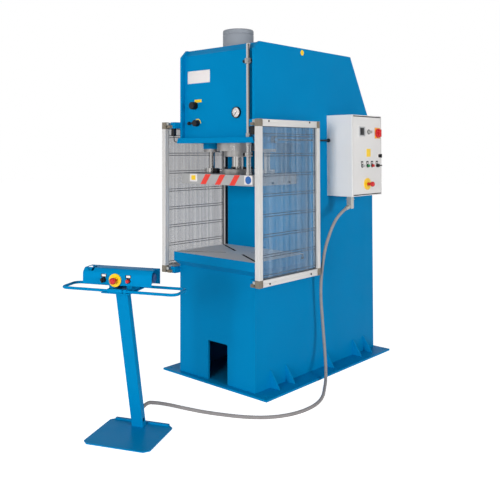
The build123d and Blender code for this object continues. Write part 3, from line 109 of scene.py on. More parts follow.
# Bright metal mirrors the white backdrop behind the press, the darker room in front of it
# and one bright panel there.
heading = add_node(surroundings, "TexCoord")
mirrored_tones = []
for direction, outer, inner, away, towards in (
    ((0.62, -0.78, 0.0), 0.25, 0.85, 1.0, 0.12),
    ((0.2, -0.98, 0.0), 0.95, 0.975, 0.0, 1.0),
):
    nearness = add_node(surroundings, "VectorMath", {"operation": "DOT_PRODUCT"}, {1: direction}, {
        0: heading.outputs["Generated"]})
    mirrored_tones.append(add_node(
        surroundings, "MapRange", {"interpolation_type": "SMOOTHSTEP"},
        {"From Min": outer, "From Max": inner, "To Min": away, "To Max": towards},
        {"Value": nearness.outputs["Value"]}))
room_and_panel = add_node(surroundings, "Math", {"operation": "MAXIMUM"}, None, {
    0: mirrored_tones[0].outputs[0], 1: mirrored_tones[1].outputs[0]})
mirror_ray = add_node(surroundings, "LightPath")
behind_tone = add_node(surroundings, "Mix", {"data_type": "FLOAT"}, {2: 1.0}, {
    0: mirror_ray.outputs["Is Glossy Ray"], 3: room_and_panel.outputs[0]})
white_behind = add_node(surroundings, "Background", None, {"Color": (1, 1, 1, 1)}, {
    "Strength": behind_tone.outputs[0]})
surroundings_mix = add_node(surroundings, "MixShader", None, None, {
    0: seen_directly(surroundings), 1: fill_light.outputs[0], 2: white_behind.outputs[0]})
add_node(surroundings, "OutputWorld", None, None, {"Surface": surroundings_mix.outputs[0]})


def hang_lamp(name, place, target, size, power):
    """A square soft lamp that points at a target."""
    lamp = bpy.data.objects.new(name, bpy.data.lights.new(name, "AREA"))
    bpy.context.scene.collection.objects.link(lamp)
    lamp.location = place
    lamp.rotation_euler = (Vector(target) - Vector(place)).to_track_quat("-Z", "Y").to_euler()
    lamp.data.size = size
    lamp.data.energy = power
    lamp.visible_glossy = False


hang_lamp("lamp_front", (3.0, -11.6, 2.5), (0.0, 0.0, 1.2), 4.0, 900)
hang_lamp("lamp_right", (9.0, -1.0, 2.6), (0.3, 0.4, 1.2), 2.8, 400)
hang_lamp("lamp_left", (-5.4, -4.0, 2.6), (0.0, 0.0, 1.1), 2.4, 50)

# Matt white floor paint, level and far larger than the view.
bpy.ops.object.select_all(action="DESELECT")
bpy.ops.mesh.primitive_plane_add(size=floor_size)
floor = bpy.context.object
floor.name = "floor"
floor_paint = bpy.data.materials.new("floor_paint")
floor_paint.use_nodes = True
floor_paint.node_tree.nodes.clear()
floor_shaded = add_node(floor_paint, "BsdfDiffuse", None, {"Color": linear("#DADADA")})
floor_glow = add_node(floor_paint, "Math", {"operation": "MULTIPLY"}, {1: floor_glow_share}, {
    0: seen_directly(floor_paint)})
floor_white = add_node(floor_paint, "Emission", None, {"Color": (1, 1, 1, 1)}, {
    "Strength": floor_glow.outputs[0]})
floor_sum = add_node(floor_paint, "AddShader", None, None, {
    0: floor_shaded.outputs[0], 1: floor_white.outputs[0]})
add_node(floor_paint, "OutputMaterial", None, None, {"Surface": floor_sum.outputs[0]})
floor.data.materials.append(floor_paint)

# Conduit: a steel spiral tube in a grey PVC sheath, 24 mm across, from the outlet
# under the box down beside the column and over the floor to the console's post.
# Its sheath follows the spiral in fine ribs, drawn a little wider apart than they are.

conduit_width = 24
conduit_sides = 14
rib_pitch = 6
rib_depth = 1.1
rib_flank = 0.3
merge_reach = 0.0002
conduit_route = (
    (600, 643.086, 1314.844), (600, 575.43, 1290.22), (580, 520, 1241),
    (563, 480, 1176), (541, 463, 1100), (512, 452, 1002),
    (488, 448, 870), (473, 447, 742), (466, 453, 612),
    (467, 466, 480), (473, 474, 348), (494, 460, 222),
    (537, 412, 98), (592, 332, 12), (688, 172, 12),
    (778, 20, 12), (828, -130, 12), (834, -285, 12),
    (800, -430, 12), (718, -560, 12), (595, -655, 12),
    (466, -718, 12), (352, -766, 12), (251, -794, 12),
    (192, -819, 16), (151, -869, 34), (137, -939, 60),
    (142, -1012, 87), (151.54, -1101.99, 115.04), (187.54, -1181.34, 92.51),
)


def deselect():
    """Leaves nothing selected, so that an operator acts on the next piece alone."""
    bpy.ops.object.select_all(action="DESELECT")


def pick(piece):
    """Selects one piece alone."""
    deselect()
    piece.select_set(True)
    bpy.context.view_layer.objects.active = piece


def settle(piece):
    """Puts a piece's place, turn and size into its mesh."""
    pick(piece)
    bpy.ops.object.transform_apply(location=True, rotation=True, scale=True)
    piece.data.name = piece.name
    return piece


def apply_modifiers(piece):
    """Applies a piece's modifiers in their order."""
    pick(piece)
    for modifier in list(piece.modifiers):
        bpy.ops.object.modifier_apply(modifier=modifier.name)


def leave_edit():
    """Back to object mode."""
    bpy.ops.object.mode_set(mode="OBJECT")


def draw_out(way):
    """Extrudes what is selected along a way in metres."""
    bpy.ops.mesh.extrude_region_move(TRANSFORM_OT_translate={"value": way})


def face_outwards(merge=False):
    """Merges doubled points if asked, turns all faces outwards and goes back to object mode."""
    bpy.ops.mesh.select_all(action="SELECT")
    if merge:
        bpy.ops.mesh.remove_doubles(threshold=0.01 * mm)
    bpy.ops.mesh.normals_make_consistent(inside=False)
    leave_edit()


def line_up(piece, count, step):
    """Repeats a piece in a row, at a step in metres."""
    row = piece.modifiers.new("row", "ARRAY")
    row.count = count
    row.use_relative_offset = False
    row.use_constant_offset = True
    row.constant_offset_displace = step
    return row


def turn(name, foot, along, outline, sides=32):
    """Turned piece: a disc drawn up along its axis through pairs of radius and height."""
    deselect()
    along = Vector(along).normalized()
    foot = Vector(foot) * mm
    radius, height = outline[0]
    bpy.ops.mesh.primitive_circle_add(
        vertices=sides,
        radius=radius * mm,
        fill_type="NGON",
        location=foot + along * height * mm,
        rotation=along.to_track_quat("Z", "Y").to_euler(),
    )
    piece = bpy.context.object
    piece.name = name
    bpy.ops.object.mode_set(mode="EDIT")
    for wider, higher in outline[1:]:
        draw_out(along * (higher - height) * mm)
        bpy.ops.transform.resize(
            value=(wider / radius,) * 3, center_override=foot + along * higher * mm)
        radius, height = wider, higher
    face_outwards()
    return settle(piece)


def fit(piece, body, finish, smooth=30):
    """Gives a finished piece its material, and lets it move with its body."""
    pick(piece)
    bpy.ops.object.shade_smooth_by_angle(angle=math.radians(smooth))
    piece.data.materials.clear()
    piece.data.materials.append(finish)
    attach(piece, body)
    return piece


def feed(finish, socket, output):
    """Lets a node's output set one socket of a material's shader."""
    finish.node_tree.links.new(output, finish.node_tree.nodes["Principled BSDF"].inputs[socket])


def clouds(finish, size, detail=3, stretch=(1, 1, 1)):
    """Cloudy unevenness of a size in millimetres, which stays with the piece as it moves."""
    place = add_node(finish, "TexCoord")
    scaled = add_node(finish, "Mapping", None, {"Scale": stretch}, {"Vector": place.outputs["Object"]})
    return add_node(
        finish, "TexNoise", None, {"Scale": 1 / (size * mm), "Detail": detail}, {"Vector": scaled.outputs[0]},
    ).outputs["Fac"]


def vary(finish, socket, low, high, size, detail=3, stretch=(1, 1, 1)):
    """Makes a material uneven: clouds carry one socket between two colours or two values."""
    pattern = clouds(finish, size, detail, stretch)
    if socket == "Base Color":
        tone = add_node(
            finish, "Mix", {"data_type": "RGBA"}, {6: linear(low), 7: linear(high)}, {"Factor": pattern})
        feed(finish, socket, tone.outputs[2])
    else:
        # The clouds' own values lie mostly between 0.3 and 0.7.
        level = add_node(
            finish, "MapRange", None, {"From Min": 0.3, "From Max": 0.7, "To Min": low, "To Max": high},
            {"Value": pattern})
        feed(finish, socket, level.outputs[0])


def new_finish(name, colour, roughness, metallic=0.0, specular=0.5, tones=None, gloss=None):
    """A material: its plain values, then the clouds in its colour and in its roughness."""
    finish = bpy.data.materials.new(name)
    finish.use_nodes = True
    shader = finish.node_tree.nodes["Principled BSDF"]
    shader.inputs["Base Color"].default_value = linear(colour)
    shader.inputs["Roughness"].default_value = roughness
    shader.inputs["Metallic"].default_value = metallic
    shader.inputs["Specular IOR Level"].default_value = specular
    if tones:
        vary(finish, "Base Color", *tones)
    if gloss:
        vary(finish, "Roughness", *gloss)
    return finish


# Extruded PVC sheath: satin, slightly mottled by handling and floor dust.
pvc_sheath = new_finish(
    "pvc_sheath", "#8C8888", 0.48, tones=("#7E7A7A", "#9A9696", 45), gloss=(0.4, 0.58, 8))

route_curve = bpy.data.curves.new("conduit_route", "CURVE")
route_curve.dimensions = "3D"
route_curve.resolution_u = 24
route_spline = route_curve.splines.new("NURBS")
route_spline.points.add(len(conduit_route) - 1)
for point, place in zip(route_spline.points, conduit_route):
    point.co = (*(Vector(place) * mm), 1)
route_spline.order_u = 3
route_spline.use_endpoint_u = True
route = bpy.data.objects.new("conduit_route", route_curve)
bpy.context.scene.collection.objects.link(route)
bpy.context.view_layer.update()
centreline = bpy.data.meshes.new_from_object(route)
conduit_path = [point.co.copy() for point in centreline.vertices]
run = sum((here - before).length for before, here in zip(conduit_path, conduit_path[1:]))

# One rib, drawn along the tube's axis from trough over crest to trough, is repeated and
# then laid along the route.
deselect()
crest = conduit_width / 2 * mm
trough = crest - rib_depth * mm
ribs = round(run / (rib_pitch * mm))
pitch = run / ribs
bpy.ops.mesh.primitive_circle_add(
    vertices=conduit_sides, radius=trough, location=(0, 0, 0), rotation=(0, math.pi / 2, 0))
conduit = bpy.context.object
conduit.name = "conduit_tube"
bpy.ops.object.mode_set(mode="EDIT")
radius = trough
for wider, share in ((crest, rib_flank), (crest, 1 - 2 * rib_flank), (trough, rib_flank)):
    draw_out((pitch * share, 0, 0))
    bpy.ops.transform.resize(value=(1, wider / radius, wider / radius))
    radius = wider
leave_edit()
settle(conduit)
row_of_ribs = line_up(conduit, ribs, (pitch, 0, 0))
row_of_ribs.use_merge_vertices = True
row_of_ribs.merge_threshold = merge_reach
lay = conduit.modifiers.new("along_route", "CURVE")
lay.object = route
apply_modifiers(conduit)
bpy.ops.object.mode_set(mode="EDIT")
bpy.ops.mesh.select_all(action="SELECT")
bpy.ops.mesh.fill_holes(sides=0)
face_outwards()
bpy.data.objects.remove(route)
fit(conduit, "press", pvc_sheath, smooth=60)
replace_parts(conduit, "conduit")

# Tapered brass-nickel ferrules, screwed to the hexagonal glands, hold both ends.
nickelled_brass = new_finish("nickelled_brass", "#A8A6A0", 0.3, 0.9, gloss=(0.24, 0.4, 12))

ferrule_outline = ((18, -1), (18, 6), (17, 7), (17, 14), (15.5, 15), (13.4, 32), (12.6, 33))
for name, foot, next_point in (
    ("ferrule_box", conduit_path[0], conduit_path[6]),
    ("ferrule_post", conduit_path[-1], conduit_path[-7]),
):
    ferrule = turn(name, foot / mm, next_point - foot, ferrule_outline)
    fit(ferrule, "press", nickelled_brass)

# Frame of the press, console and its stand: welded and folded steel plate in blue
# stoving enamel, sprayed on and baked, with the soft orange peel of a sprayed coat.
# The peel, about 2 mm across, is drawn at 6 mm so that it shows.


def dress(finish, *nodes):
    """Gives CAD nodes that keep their shape their material."""
    for node in nodes:
        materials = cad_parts[node].data.materials
        if not materials:
            materials.append(finish)
        for place in range(len(materials)):
            materials[place] = finish


def roughen(finish, size, depth, strength, worn=0, detail=2, stretch=(1, 1, 1)):
    """Grain of a size and depth in millimetres, and sharp edges worn round by a radius in millimetres."""
    grain = add_node(
        finish, "Bump", None, {"Strength": strength, "Distance": depth * mm},
        {"Height": clouds(finish, size, detail, stretch)})
    if worn:
        edges = add_node(finish, "Bevel", {"samples": 4}, {"Radius": worn * mm})
        finish.node_tree.links.new(edges.outputs[0], grain.inputs["Normal"])
    feed(finish, "Normal", grain.outputs[0])


def enamel_coat(finish):
    """Satin sprayed coat: broad clouds in its gloss and a fine orange peel."""
    vary(finish, "Roughness", 0.34, 0.46, 220)
    roughen(finish, 6, 0.12, 0.25, 1.5)


frame_blue = "#0080B8"
blue_enamel = new_finish(
    "blue_enamel", frame_blue, 0.4, specular=0.03, tones=("#007CB3", "#0084BC", 420, 2))
enamel_coat(blue_enamel)
dress(
    blue_enamel, "base_plate", "base_gussets", "side_plate_left", "side_plate_right",
    "lower_front_panel", "throat_plate", "table_ribs", "head_floor_plate", "head_front_cover",
    "rear_cover", "guide_housings", "oil_tank", "pedestal_frame",
)

# Table: steel plate with T-slots, enamelled blue with the frame and then ground flat on
# top, which leaves fine straight lines from side to side and a soft sheen.


def beyond_edge(finish, axis, edge, above=True):
    """1 where the object's own coordinate is beyond an edge in millimetres, and 0 elsewhere."""
    place = add_node(finish, "TexCoord")
    parts = add_node(finish, "SeparateXYZ", None, None, {"Vector": place.outputs["Object"]})
    return add_node(
        finish, "Math", {"operation": "GREATER_THAN" if above else "LESS_THAN"}, {1: edge * mm},
        {0: parts.outputs[axis]},
    ).outputs[0]


def corners_of(node):
    """Low and high corner of a CAD node in millimetres."""
    return [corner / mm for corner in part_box(node)]


edge_skin = 0.5
bare_height = 67.5
slot_skin = 1

ground_steel = new_finish("ground_steel_table", "#AEACAC", 0.5, specular=0.05)
table_low, table_high = corners_of("table_plate")
painted = None
for axis, edge, above in (
    ("X", table_high.x - edge_skin, True), ("X", table_low.x + edge_skin, False),
    ("Y", table_high.y - edge_skin, True), ("Y", table_low.y + edge_skin, False),
    ("Z", table_high.z - bare_height, False),
):
    coated_side = beyond_edge(ground_steel, axis, edge, above)
    if painted is None:
        painted = coated_side
        continue
    painted = add_node(
        ground_steel, "Math", {"operation": "MAXIMUM"}, None, {0: coated_side, 1: painted}).outputs[0]
ground_tone = add_node(
    ground_steel, "Mix", {"data_type": "RGBA"}, {6: linear("#D6D2D0"), 7: linear("#E8E4E2")},
    {"Factor": clouds(ground_steel, 260, 4)})
# The walls and floors of the T-slots are painted near black as the shade inside them.
slot_shade_tone = add_node(
    ground_steel, "Mix", {"data_type": "RGBA"}, {6: linear("#16161A")},
    {"Factor": beyond_edge(ground_steel, "Z", table_high.z - slot_skin), 7: ground_tone.outputs[2]})
table_tone = add_node(
    ground_steel, "Mix", {"data_type": "RGBA"}, {7: linear(frame_blue)},
    {"Factor": painted, 6: slot_shade_tone.outputs[2]})
feed(ground_steel, "Base Color", table_tone.outputs[2])
feed(ground_steel, "Metallic", add_node(
    ground_steel, "MapRange", None, {"To Min": 0.1, "To Max": 0.0}, {"Value": painted}).outputs[0])
vary(ground_steel, "Roughness", 0.44, 0.6, 5, 4, (0.04, 1, 1))
roughen(ground_steel, 5, 0.05, 0.3, 1, 4, (0.04, 1, 1))
dress(ground_steel, "table_plate", "table_plug")

# Turned steel of the rings, flanges and bushes, its lathe marks faint.
turned_steel = new_finish("turned_steel", "#B0AEAC", 0.3, 0.9, gloss=(0.26, 0.44, 14, 4))
roughen(turned_steel, 3, 0.04, 0.3, 0.8)
dress(turned_steel, "ram_flange", "guide_bushes")

# Ram, guide columns and stroke rod: ground bar, hard-chromed and polished, so that it
# mirrors the room in narrow bright and dark bands.

hard_chrome = new_finish("hard_chrome", "#CCCAC8", 0.12, 1.0, gloss=(0.07, 0.15, 60, 3, (1, 1, 0.2)))
dress(hard_chrome, "piston_rod", "guide_columns", "stroke_rod")

# Cylinder: welded steel barrel in grey machine enamel, above a bare turned gland. It
# stands through the roof of the head, under a wider cap with a rounded rim and a seam.

grey_enamel = new_finish("grey_enamel", "#9298A4", 0.4, specular=0.03, tones=("#868B92", "#8F949B", 160))
enamel_coat(grey_enamel)
dress(turned_steel, "cylinder_gland")

tube_low, tube_high = corners_of("cylinder_barrel")
roof = corners_of("rear_cover")[1].z
foot_radius, foot_height = 155, 30
tube_radius = 116
cap_radius = 123
cap_start = roof + 5
cap_top = tube_high.z - 24
seam = cap_top - 39
seam_depth = 3
cylinder_tube = turn("cylinder_tube", (0, 0, 0), (0, 0, 1), (
    (foot_radius, tube_low.z), (foot_radius, tube_low.z + foot_height),
    (tube_radius, tube_low.z + foot_height), (tube_radius, cap_start - 2),
    (cap_radius, cap_start), (cap_radius, seam - 4),
    (cap_radius - seam_depth, seam - 2), (cap_radius - seam_depth, seam + 2),
    (cap_radius, seam + 4), (cap_radius, cap_top - 11), (cap_radius - 1.5, cap_top - 6),
    (cap_radius - 5, cap_top - 2), (cap_radius - 11, cap_top)), 96)
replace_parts(fit(cylinder_tube, "press", grey_enamel), "cylinder_barrel")

# Fasteners: socket-head cap screws of blackened steel, here in a ring on the ram flange
# that bolts the piston rod to the platen.

black_oxide = new_finish("black_oxide_steel", "#2A2A2C", 0.42, 0.7, gloss=(0.36, 0.52, 6))


def cap_screw(name, foot, along, head, height):
    """Socket-head screw: rounded head with its hexagon socket."""
    return turn(name, foot, along, (
        (head / 2, -1), (head / 2, height - 1), (head / 2 - 1, height), (head * 0.3, height),
        (head * 0.28, height * 0.45)), sides=12)


def join_up(name, parts):
    """Joins the parts of one piece."""
    deselect()
    for part in parts:
        part.select_set(True)
    bpy.context.view_layer.objects.active = parts[0]
    bpy.ops.object.join()
    joined = bpy.context.object
    joined.name = name
    joined.data.name = name
    return joined


flange_top = corners_of("ram_flange")[1].z
flange_screw_count = 8
flange_screw_circle = 107
flange_screws = []
for number in range(flange_screw_count):
    bearing = math.tau * (number + 0.5) / flange_screw_count
    foot = (flange_screw_circle * math.cos(bearing), flange_screw_circle * math.sin(bearing), flange_top)
    flange_screws.append(cap_screw(f"flange_screw_{number}", foot, (0, 0, 1), 24, 16))
fit(join_up("flange_screws", flange_screws), "ram", black_oxide)

# Platen: thick steel plate, milled all over, which leaves a cool grey with fine lines
# across. Red stripes painted on its front edge stand between plain enamelled plates.


def place_block(name, low, high):
    """Block between two corners in millimetres."""
    deselect()
    low, high = Vector(low) * mm, Vector(high) * mm
    bpy.ops.mesh.primitive_cube_add(size=1, location=(low + high) / 2, scale=high - low)
    piece = bpy.context.object
    piece.name = name
    return settle(piece)


def edit_faces(piece, test=lambda centre, normal: True):
    """Opens a piece in edit mode with all faces selected, or those whose centre and normal pass a test."""
    pick(piece)
    bpy.ops.object.mode_set(mode="EDIT")
    bpy.ops.mesh.select_mode(type="FACE")
    bpy.ops.mesh.select_all(action="DESELECT")
    shape = bmesh.from_edit_mesh(piece.data)
    shape.normal_update()
    for face in shape.faces:
        face.select_set(test(face.calc_center_median() / mm, face.normal))
    bmesh.update_edit_mesh(piece.data)


def round_edges(piece, radius, steps=2, angle=60):
    """Rounds the sharp edges of a piece by a radius in millimetres."""
    rounding = piece.modifiers.new("rounding", "BEVEL")
    rounding.width = radius * mm
    rounding.segments = steps
    rounding.limit_method = "ANGLE"
    rounding.angle_limit = math.radians(angle)
    apply_modifiers(piece)
    return piece


def panel_in(piece, facing, margin, depth):
    """Sinks or raises the middle of the faces that look in one direction."""
    facing = Vector(facing)
    edit_faces(piece, lambda centre, normal: normal.dot(facing) > 0.99)
    bpy.ops.mesh.inset(thickness=margin * mm, depth=0)
    draw_out(facing * depth * mm)
    leave_edit()
    return piece


milled_steel = new_finish(
    "milled_steel", "#ACACAC", 0.38, 0.6,
    tones=("#A0A0A0", "#B4B4B4", 200, 4), gloss=(0.32, 0.5, 5, 4, (0.05, 1, 1)))
roughen(milled_steel, 5, 0.05, 0.3, 1.5, 4, (0.05, 1, 1))
dress(milled_steel, "platen")

# Brushed stripe paint, a little uneven.
red_paint = new_finish("red_stripe_paint", "#E23A30", 0.45, tones=("#DA3428", "#EA4236", 30, 4))

# Stoved enamel of the plates: smooth and satin, with broad soft clouds in its gloss.
white_enamel, yellow_enamel, blue_plate_enamel = (
    new_finish(f"{name}_plate_enamel", colour, 0.35, gloss=(0.3, 0.42, 25))
    for name, colour in (("white", "#E4DEDC"), ("yellow", "#F2C81E"), ("blue", "#2060A8")))

platen_low, platen_high = corners_of("platen")
stripe_lean = 54
stripe_thickness = 0.4
stripes = []
for number, (left, right) in enumerate(((-162, -105), (-8, 47), (141, 195))):
    stripe = place_block(
        f"stripe_{number}", (left, platen_low.y - stripe_thickness, platen_low.z + 1),
        (right, platen_low.y + 0.2, platen_high.z - 1))
    edit_faces(stripe, lambda centre, normal: normal.z > 0.9)
    bpy.ops.transform.translate(value=(stripe_lean * mm, 0, 0))
    leave_edit()
    stripes.append(stripe)
fit(join_up("platen_stripes", stripes), "ram", red_paint)


def wall_plate(name, low, high, finish, body, corner=3):
    """Thin enamelled plate with rounded corners on a face that looks to the front."""
    return fit(round_edges(place_block(name, low, high), corner, 3), body, finish)


for name, left, right, low, high, proud, sunk, finish, material_slot in (
    ("white_plate_left", -281, -198, 1526, 1587, 0.5, 4, white_enamel, "grey_plastic"),
    ("yellow_plate", -264, -215, 1538, 1576, 0.9, 3, yellow_enamel, "yellow_plastic"),
    ("white_plate_right", 289, 369, 1519, 1586, 0.5, 4, white_enamel, "grey_plastic"),
):
    wall_plate(
        f"platen_{name}", (left, platen_low.y - proud, low), (right, platen_low.y + sunk, high),
        finish, "ram")
blue_disc = turn("platen_blue_disc", (329, platen_low.y, 1552), (0, -1, 0), ((29, 0), (29, 0.9), (28.5, 1)))
fit(blue_disc, "ram", blue_plate_enamel)

platen_screw_level = 1525
platen_screws = [
    cap_screw(f"platen_screw_{number}", (platen_high.x, y, platen_screw_level), (1, 0, 0), 18, 12)
    for number, y in enumerate((-40, 165))]
fit(join_up("platen_screws", platen_screws), "ram", black_oxide)

# Small blackened stop block, screwed on the platen beside the left guide column.
stop_height = 35
stop_block = place_block(
    "platen_stop_block", (-228, -52, platen_high.z), (-188, -14, platen_high.z + stop_height))
panel_in(stop_block, (0, 0, 1), 9, -6)
fit(round_edges(stop_block, 2), "ram", black_oxide)

# Guards: frames of anodised aluminium profile with moulded corner blocks, each round a
# clear polycarbonate sheet with a fine wire mesh in it, held in a rubber lip, and hung
# on two lift-off hinges. The left one is the right one's mirror image.

# Clear anodised aluminium: even and silky, with die lines lengthwise, shown coarser than they are.
anodised = new_finish(
    "anodised_aluminium", "#DEDCD8", 0.36, 0.35,
    tones=("#CCCAC8", "#D8D6D4", 300, 2), gloss=(0.3, 0.44, 5, 3, (1, 1, 0.04)))

# Glass-filled nylon, moulded grey-brown with a fine matt grain drawn at 3 mm.
nylon_dark, nylon_light = "#726A5E", "#867E70"
moulded_nylon = new_finish("moulded_nylon", "#7C7466", 0.55, tones=(nylon_dark, nylon_light, 30))
roughen(moulded_nylon, 3, 0.15, 0.4)

black_rubber = new_finish("black_rubber", "#1C1C1E", 0.62, gloss=(0.55, 0.72, 10))

outer_x = 507
inner_x = 467
guard_front, guard_back = -359, 393
guard_bottom, guard_top = 796, 1998
profile = 40
rail_depth = 50
rail_inset = 2
groove_half = 1.5
groove_depth = 1.2
corner_height = 54
sheet_x = (inner_x + outer_x) / 2
sheet_front, sheet_back = guard_front + profile, guard_back - profile
sheet_bottom, sheet_top = guard_bottom + rail_inset + rail_depth, guard_top - rail_inset - rail_depth


def profile_bar(name, low, high, along):
    """Length of profile with a shallow line down each long outer face."""
    bar = place_block(name, low, high)
    axes = [axis for axis in range(3) if axis != along]
    for axis in axes:
        other = axes[1 - axes.index(axis)]
        middle = (low[other] + high[other]) / 2
        for shift in (-groove_half, groove_half):
            normal = [0, 0, 0]
            normal[other] = 1
            point = [0, 0, 0]
            point[other] = (middle + shift) * mm
            edit_faces(bar)
            bpy.ops.mesh.bisect(plane_co=point, plane_no=normal)
            leave_edit()
        for side in (-1, 1):
            edit_faces(bar, lambda centre, normal: (
                normal[axis] * side > 0.9 and abs(centre[other] - middle) < groove_half))
            sink = [0, 0, 0]
            sink[axis] = -side * groove_depth * mm
            draw_out(sink)
            leave_edit()
    return bar


posts = [
    profile_bar(
        f"post_{number}", (inner_x, y, guard_bottom + corner_height),
        (outer_x, y + profile, guard_top - corner_height), 2)
    for number, y in enumerate((guard_front, sheet_back))]
rails = [
    profile_bar(f"rail_{number}", (inner_x, sheet_front, low), (outer_x, sheet_back, low + rail_depth), 1)
    for number, low in enumerate((sheet_bottom - rail_depth, sheet_top))]
guard_profiles = round_edges(join_up("guard_profiles_right", posts + rails), 1.2)

corners = []
for y in (guard_front, sheet_back):
    for z in (guard_bottom, guard_top - corner_height):
        corner = place_block(
            f"corner_{y}_{z}", (inner_x - 0.6, y - 0.6, z - 0.2),
            (outer_x + 0.4, y + profile + 0.6, z + corner_height + 0.2))
        panel_in(corner, (1, 0, 0), 6, -1.2)
        panel_in(corner, (0, -1 if y < 0 else 1, 0), 6, -1.2)
        corners.append(round_edges(corner, 2.5, 3))
guard_corners = join_up("guard_corners_right", corners)

# Rubber lip that closes the profile's groove round the sheet, and a black rubber strip at the back, which
# also stands as painted shade in the gap between the back post and the frame.
lip = 3
lip_half = 4
strip_gap = 12
lips = [
    place_block(f"lip_{edge}", (sheet_x - lip_half, front, low), (sheet_x + lip_half, back, high))
    for edge, front, back, low, high in (
        ("front", sheet_front, sheet_front + lip, sheet_bottom, sheet_top),
        ("back", sheet_back - lip, sheet_back, sheet_bottom, sheet_top),
        ("low", sheet_front, sheet_back, sheet_bottom, sheet_bottom + lip),
        ("high", sheet_front, sheet_back, sheet_top - lip, sheet_top))]
lips.append(place_block(
    "back_seal_and_shade_strip", (inner_x - 3, sheet_back + 6, sheet_bottom + strip_gap),
    (inner_x + 1, guard_back - 8, sheet_top - strip_gap)))
guard_lips = round_edges(join_up("guard_lips_right", lips), 0.8)

screws = [
    cap_screw(f"guard_screw_{y}", (outer_x, y, z), (1, 0, 0), 15, 3)
    for y, z in ((-247, 1983), (256, 1986), (-240, 815), (267, 819))]
guard_screws = join_up("guard_screws_right", screws)

# Wires of the mesh: single upright ones, and pairs across that stiffen it.
wire_pitch, wire_count = 12.2, 55
wire_radius, wire_length = 0.8, 1091
cross_level, cross_pitch, cross_count = 866, 145.6, 8
cross_radius, cross_length = 2.5, 666
wires = turn(
    "upright_wires", (sheet_x, sheet_front + 9, sheet_bottom + 4), (0, 0, 1),
    ((wire_radius, 0), (wire_radius, wire_length)), 6)
line_up(wires, wire_count, (0, wire_pitch * mm, 0))
apply_modifiers(wires)
pairs = []
for shift in (-9, 9):
    pair = turn(
        f"cross_wire_{shift}", (sheet_x, sheet_front + 3, cross_level + shift), (0, 1, 0),
        ((cross_radius, 0), (cross_radius, cross_length)), 6)
    line_up(pair, cross_count, (0, 0, cross_pitch * mm))
    apply_modifiers(pair)
    pairs.append(pair)
guard_wires = join_up("guard_wires_right", [wires] + pairs)

# Leaves of the lift-off hinges, zinc die-cast, on the pins of the brackets.
hinge_x, hinge_y = 446, -348
leaf_height = 21
leaves = []
for level in (818.4, 1973.4):
    leaf = round_edges(place_block(
        f"leaf_{level}", (hinge_x + 4, hinge_y - 4, level),
        (inner_x + 1, hinge_y + 4, level + leaf_height)), 1)
    barrel = turn(
        f"barrel_{level}", (hinge_x, hinge_y, level), (0, 0, 1),
        ((6, 0), (7, 1), (7, 20.4), (6, 21.4)), 24)
    leaves += [leaf, barrel]
guard_hinges = join_up("guard_hinges_right", leaves)

die_cast_zinc = new_finish("die_cast_zinc", "#B8B8B4", 0.42, 0.6, gloss=(0.36, 0.5, 12))
drawn_wire = new_finish("drawn_steel_wire", "#3C4048", 0.4, 0.3, gloss=(0.34, 0.5, 12))


def mirror_piece(piece, name):
    """Copy of a piece on the other side of the press, turned the right way out."""
    other = piece.copy()
    other.data = piece.data.copy()
    other.name = name
    bpy.context.scene.collection.objects.link(other)
    other.scale.x = -1
    settle(other)
    bpy.ops.object.mode_set(mode="EDIT")
    face_outwards()
    return other


for piece, finish, material_slot in (
    (guard_profiles, anodised, "guard_aluminium"),
    (guard_corners, moulded_nylon, "grey_plastic"),
    (guard_lips, black_rubber, "black_plastic"),
    (guard_screws, black_oxide, "black_plastic"),
    (guard_wires, drawn_wire, "bright_steel"),
    (guard_hinges, die_cast_zinc, "zinc"),
):
    left_piece = mirror_piece(piece, piece.name.replace("right", "left"))
    fit(piece, "guard_right", finish)
    fit(left_piece, "guard_left", finish)
    if piece is guard_profiles:
        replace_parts(piece, "guard_frame_right")
        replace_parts(left_piece, "guard_frame_left")

# Extruded polycarbonate, with upright streaks of painted reflection in its colour and clearness.
# The left sheet is painted darker and denser as shade, and the right one clear and bluish as
# painted light and the reflection of the blue frame.
reflection_streak_size = 20
reflection_streak_stretch = (1, 1, 0.012)
for name, node, dark, light, thinnest, thickest in (
    # Left sheet painted darker and denser as shade; right sheet painted clear and bluish as light and the
    # blue frame's reflection.
    ("shaded_polycarbonate", "guard_panel_left", "#74747C", "#8A8A92", 0.3, 0.42),
    ("lit_bluish_polycarbonate", "guard_panel_right", "#8FB4D6", "#B9D4EC", 0.08, 0.3),
):
    polycarbonate = new_finish(name, light, 0.16)
    # Painted reflection: upright streaks in the sheet's clearness and colour.
    vary(polycarbonate, "Alpha", thinnest, thickest, reflection_streak_size, 3, reflection_streak_stretch)
    vary(polycarbonate, "Base Color", dark, light, reflection_streak_size, 3, reflection_streak_stretch)
    dress(polycarbonate, node)

# Brackets and switches of the guards: folded steel in the frame's enamel, with the fixed
# hinge halves in the moulded grey-brown of the corner blocks, and black-cased switches.

bracket_finish = new_finish("bracket_enamel", frame_blue, 0.42, specular=0.03)
hinge_edge_y = -328
nylon_tone = add_node(
    bracket_finish, "Mix", {"data_type": "RGBA"}, {6: linear(nylon_dark), 7: linear(nylon_light)},
    {"Factor": clouds(bracket_finish, 30)})
bracket_tone = add_node(
    bracket_finish, "Mix", {"data_type": "RGBA"}, {6: linear(frame_blue)},
    {"Factor": beyond_edge(bracket_finish, "Y", hinge_edge_y, above=False), 7: nylon_tone.outputs[2]})
feed(bracket_finish, "Base Color", bracket_tone.outputs[2])
enamel_coat(bracket_finish)
dress(bracket_finish, "side_brackets")

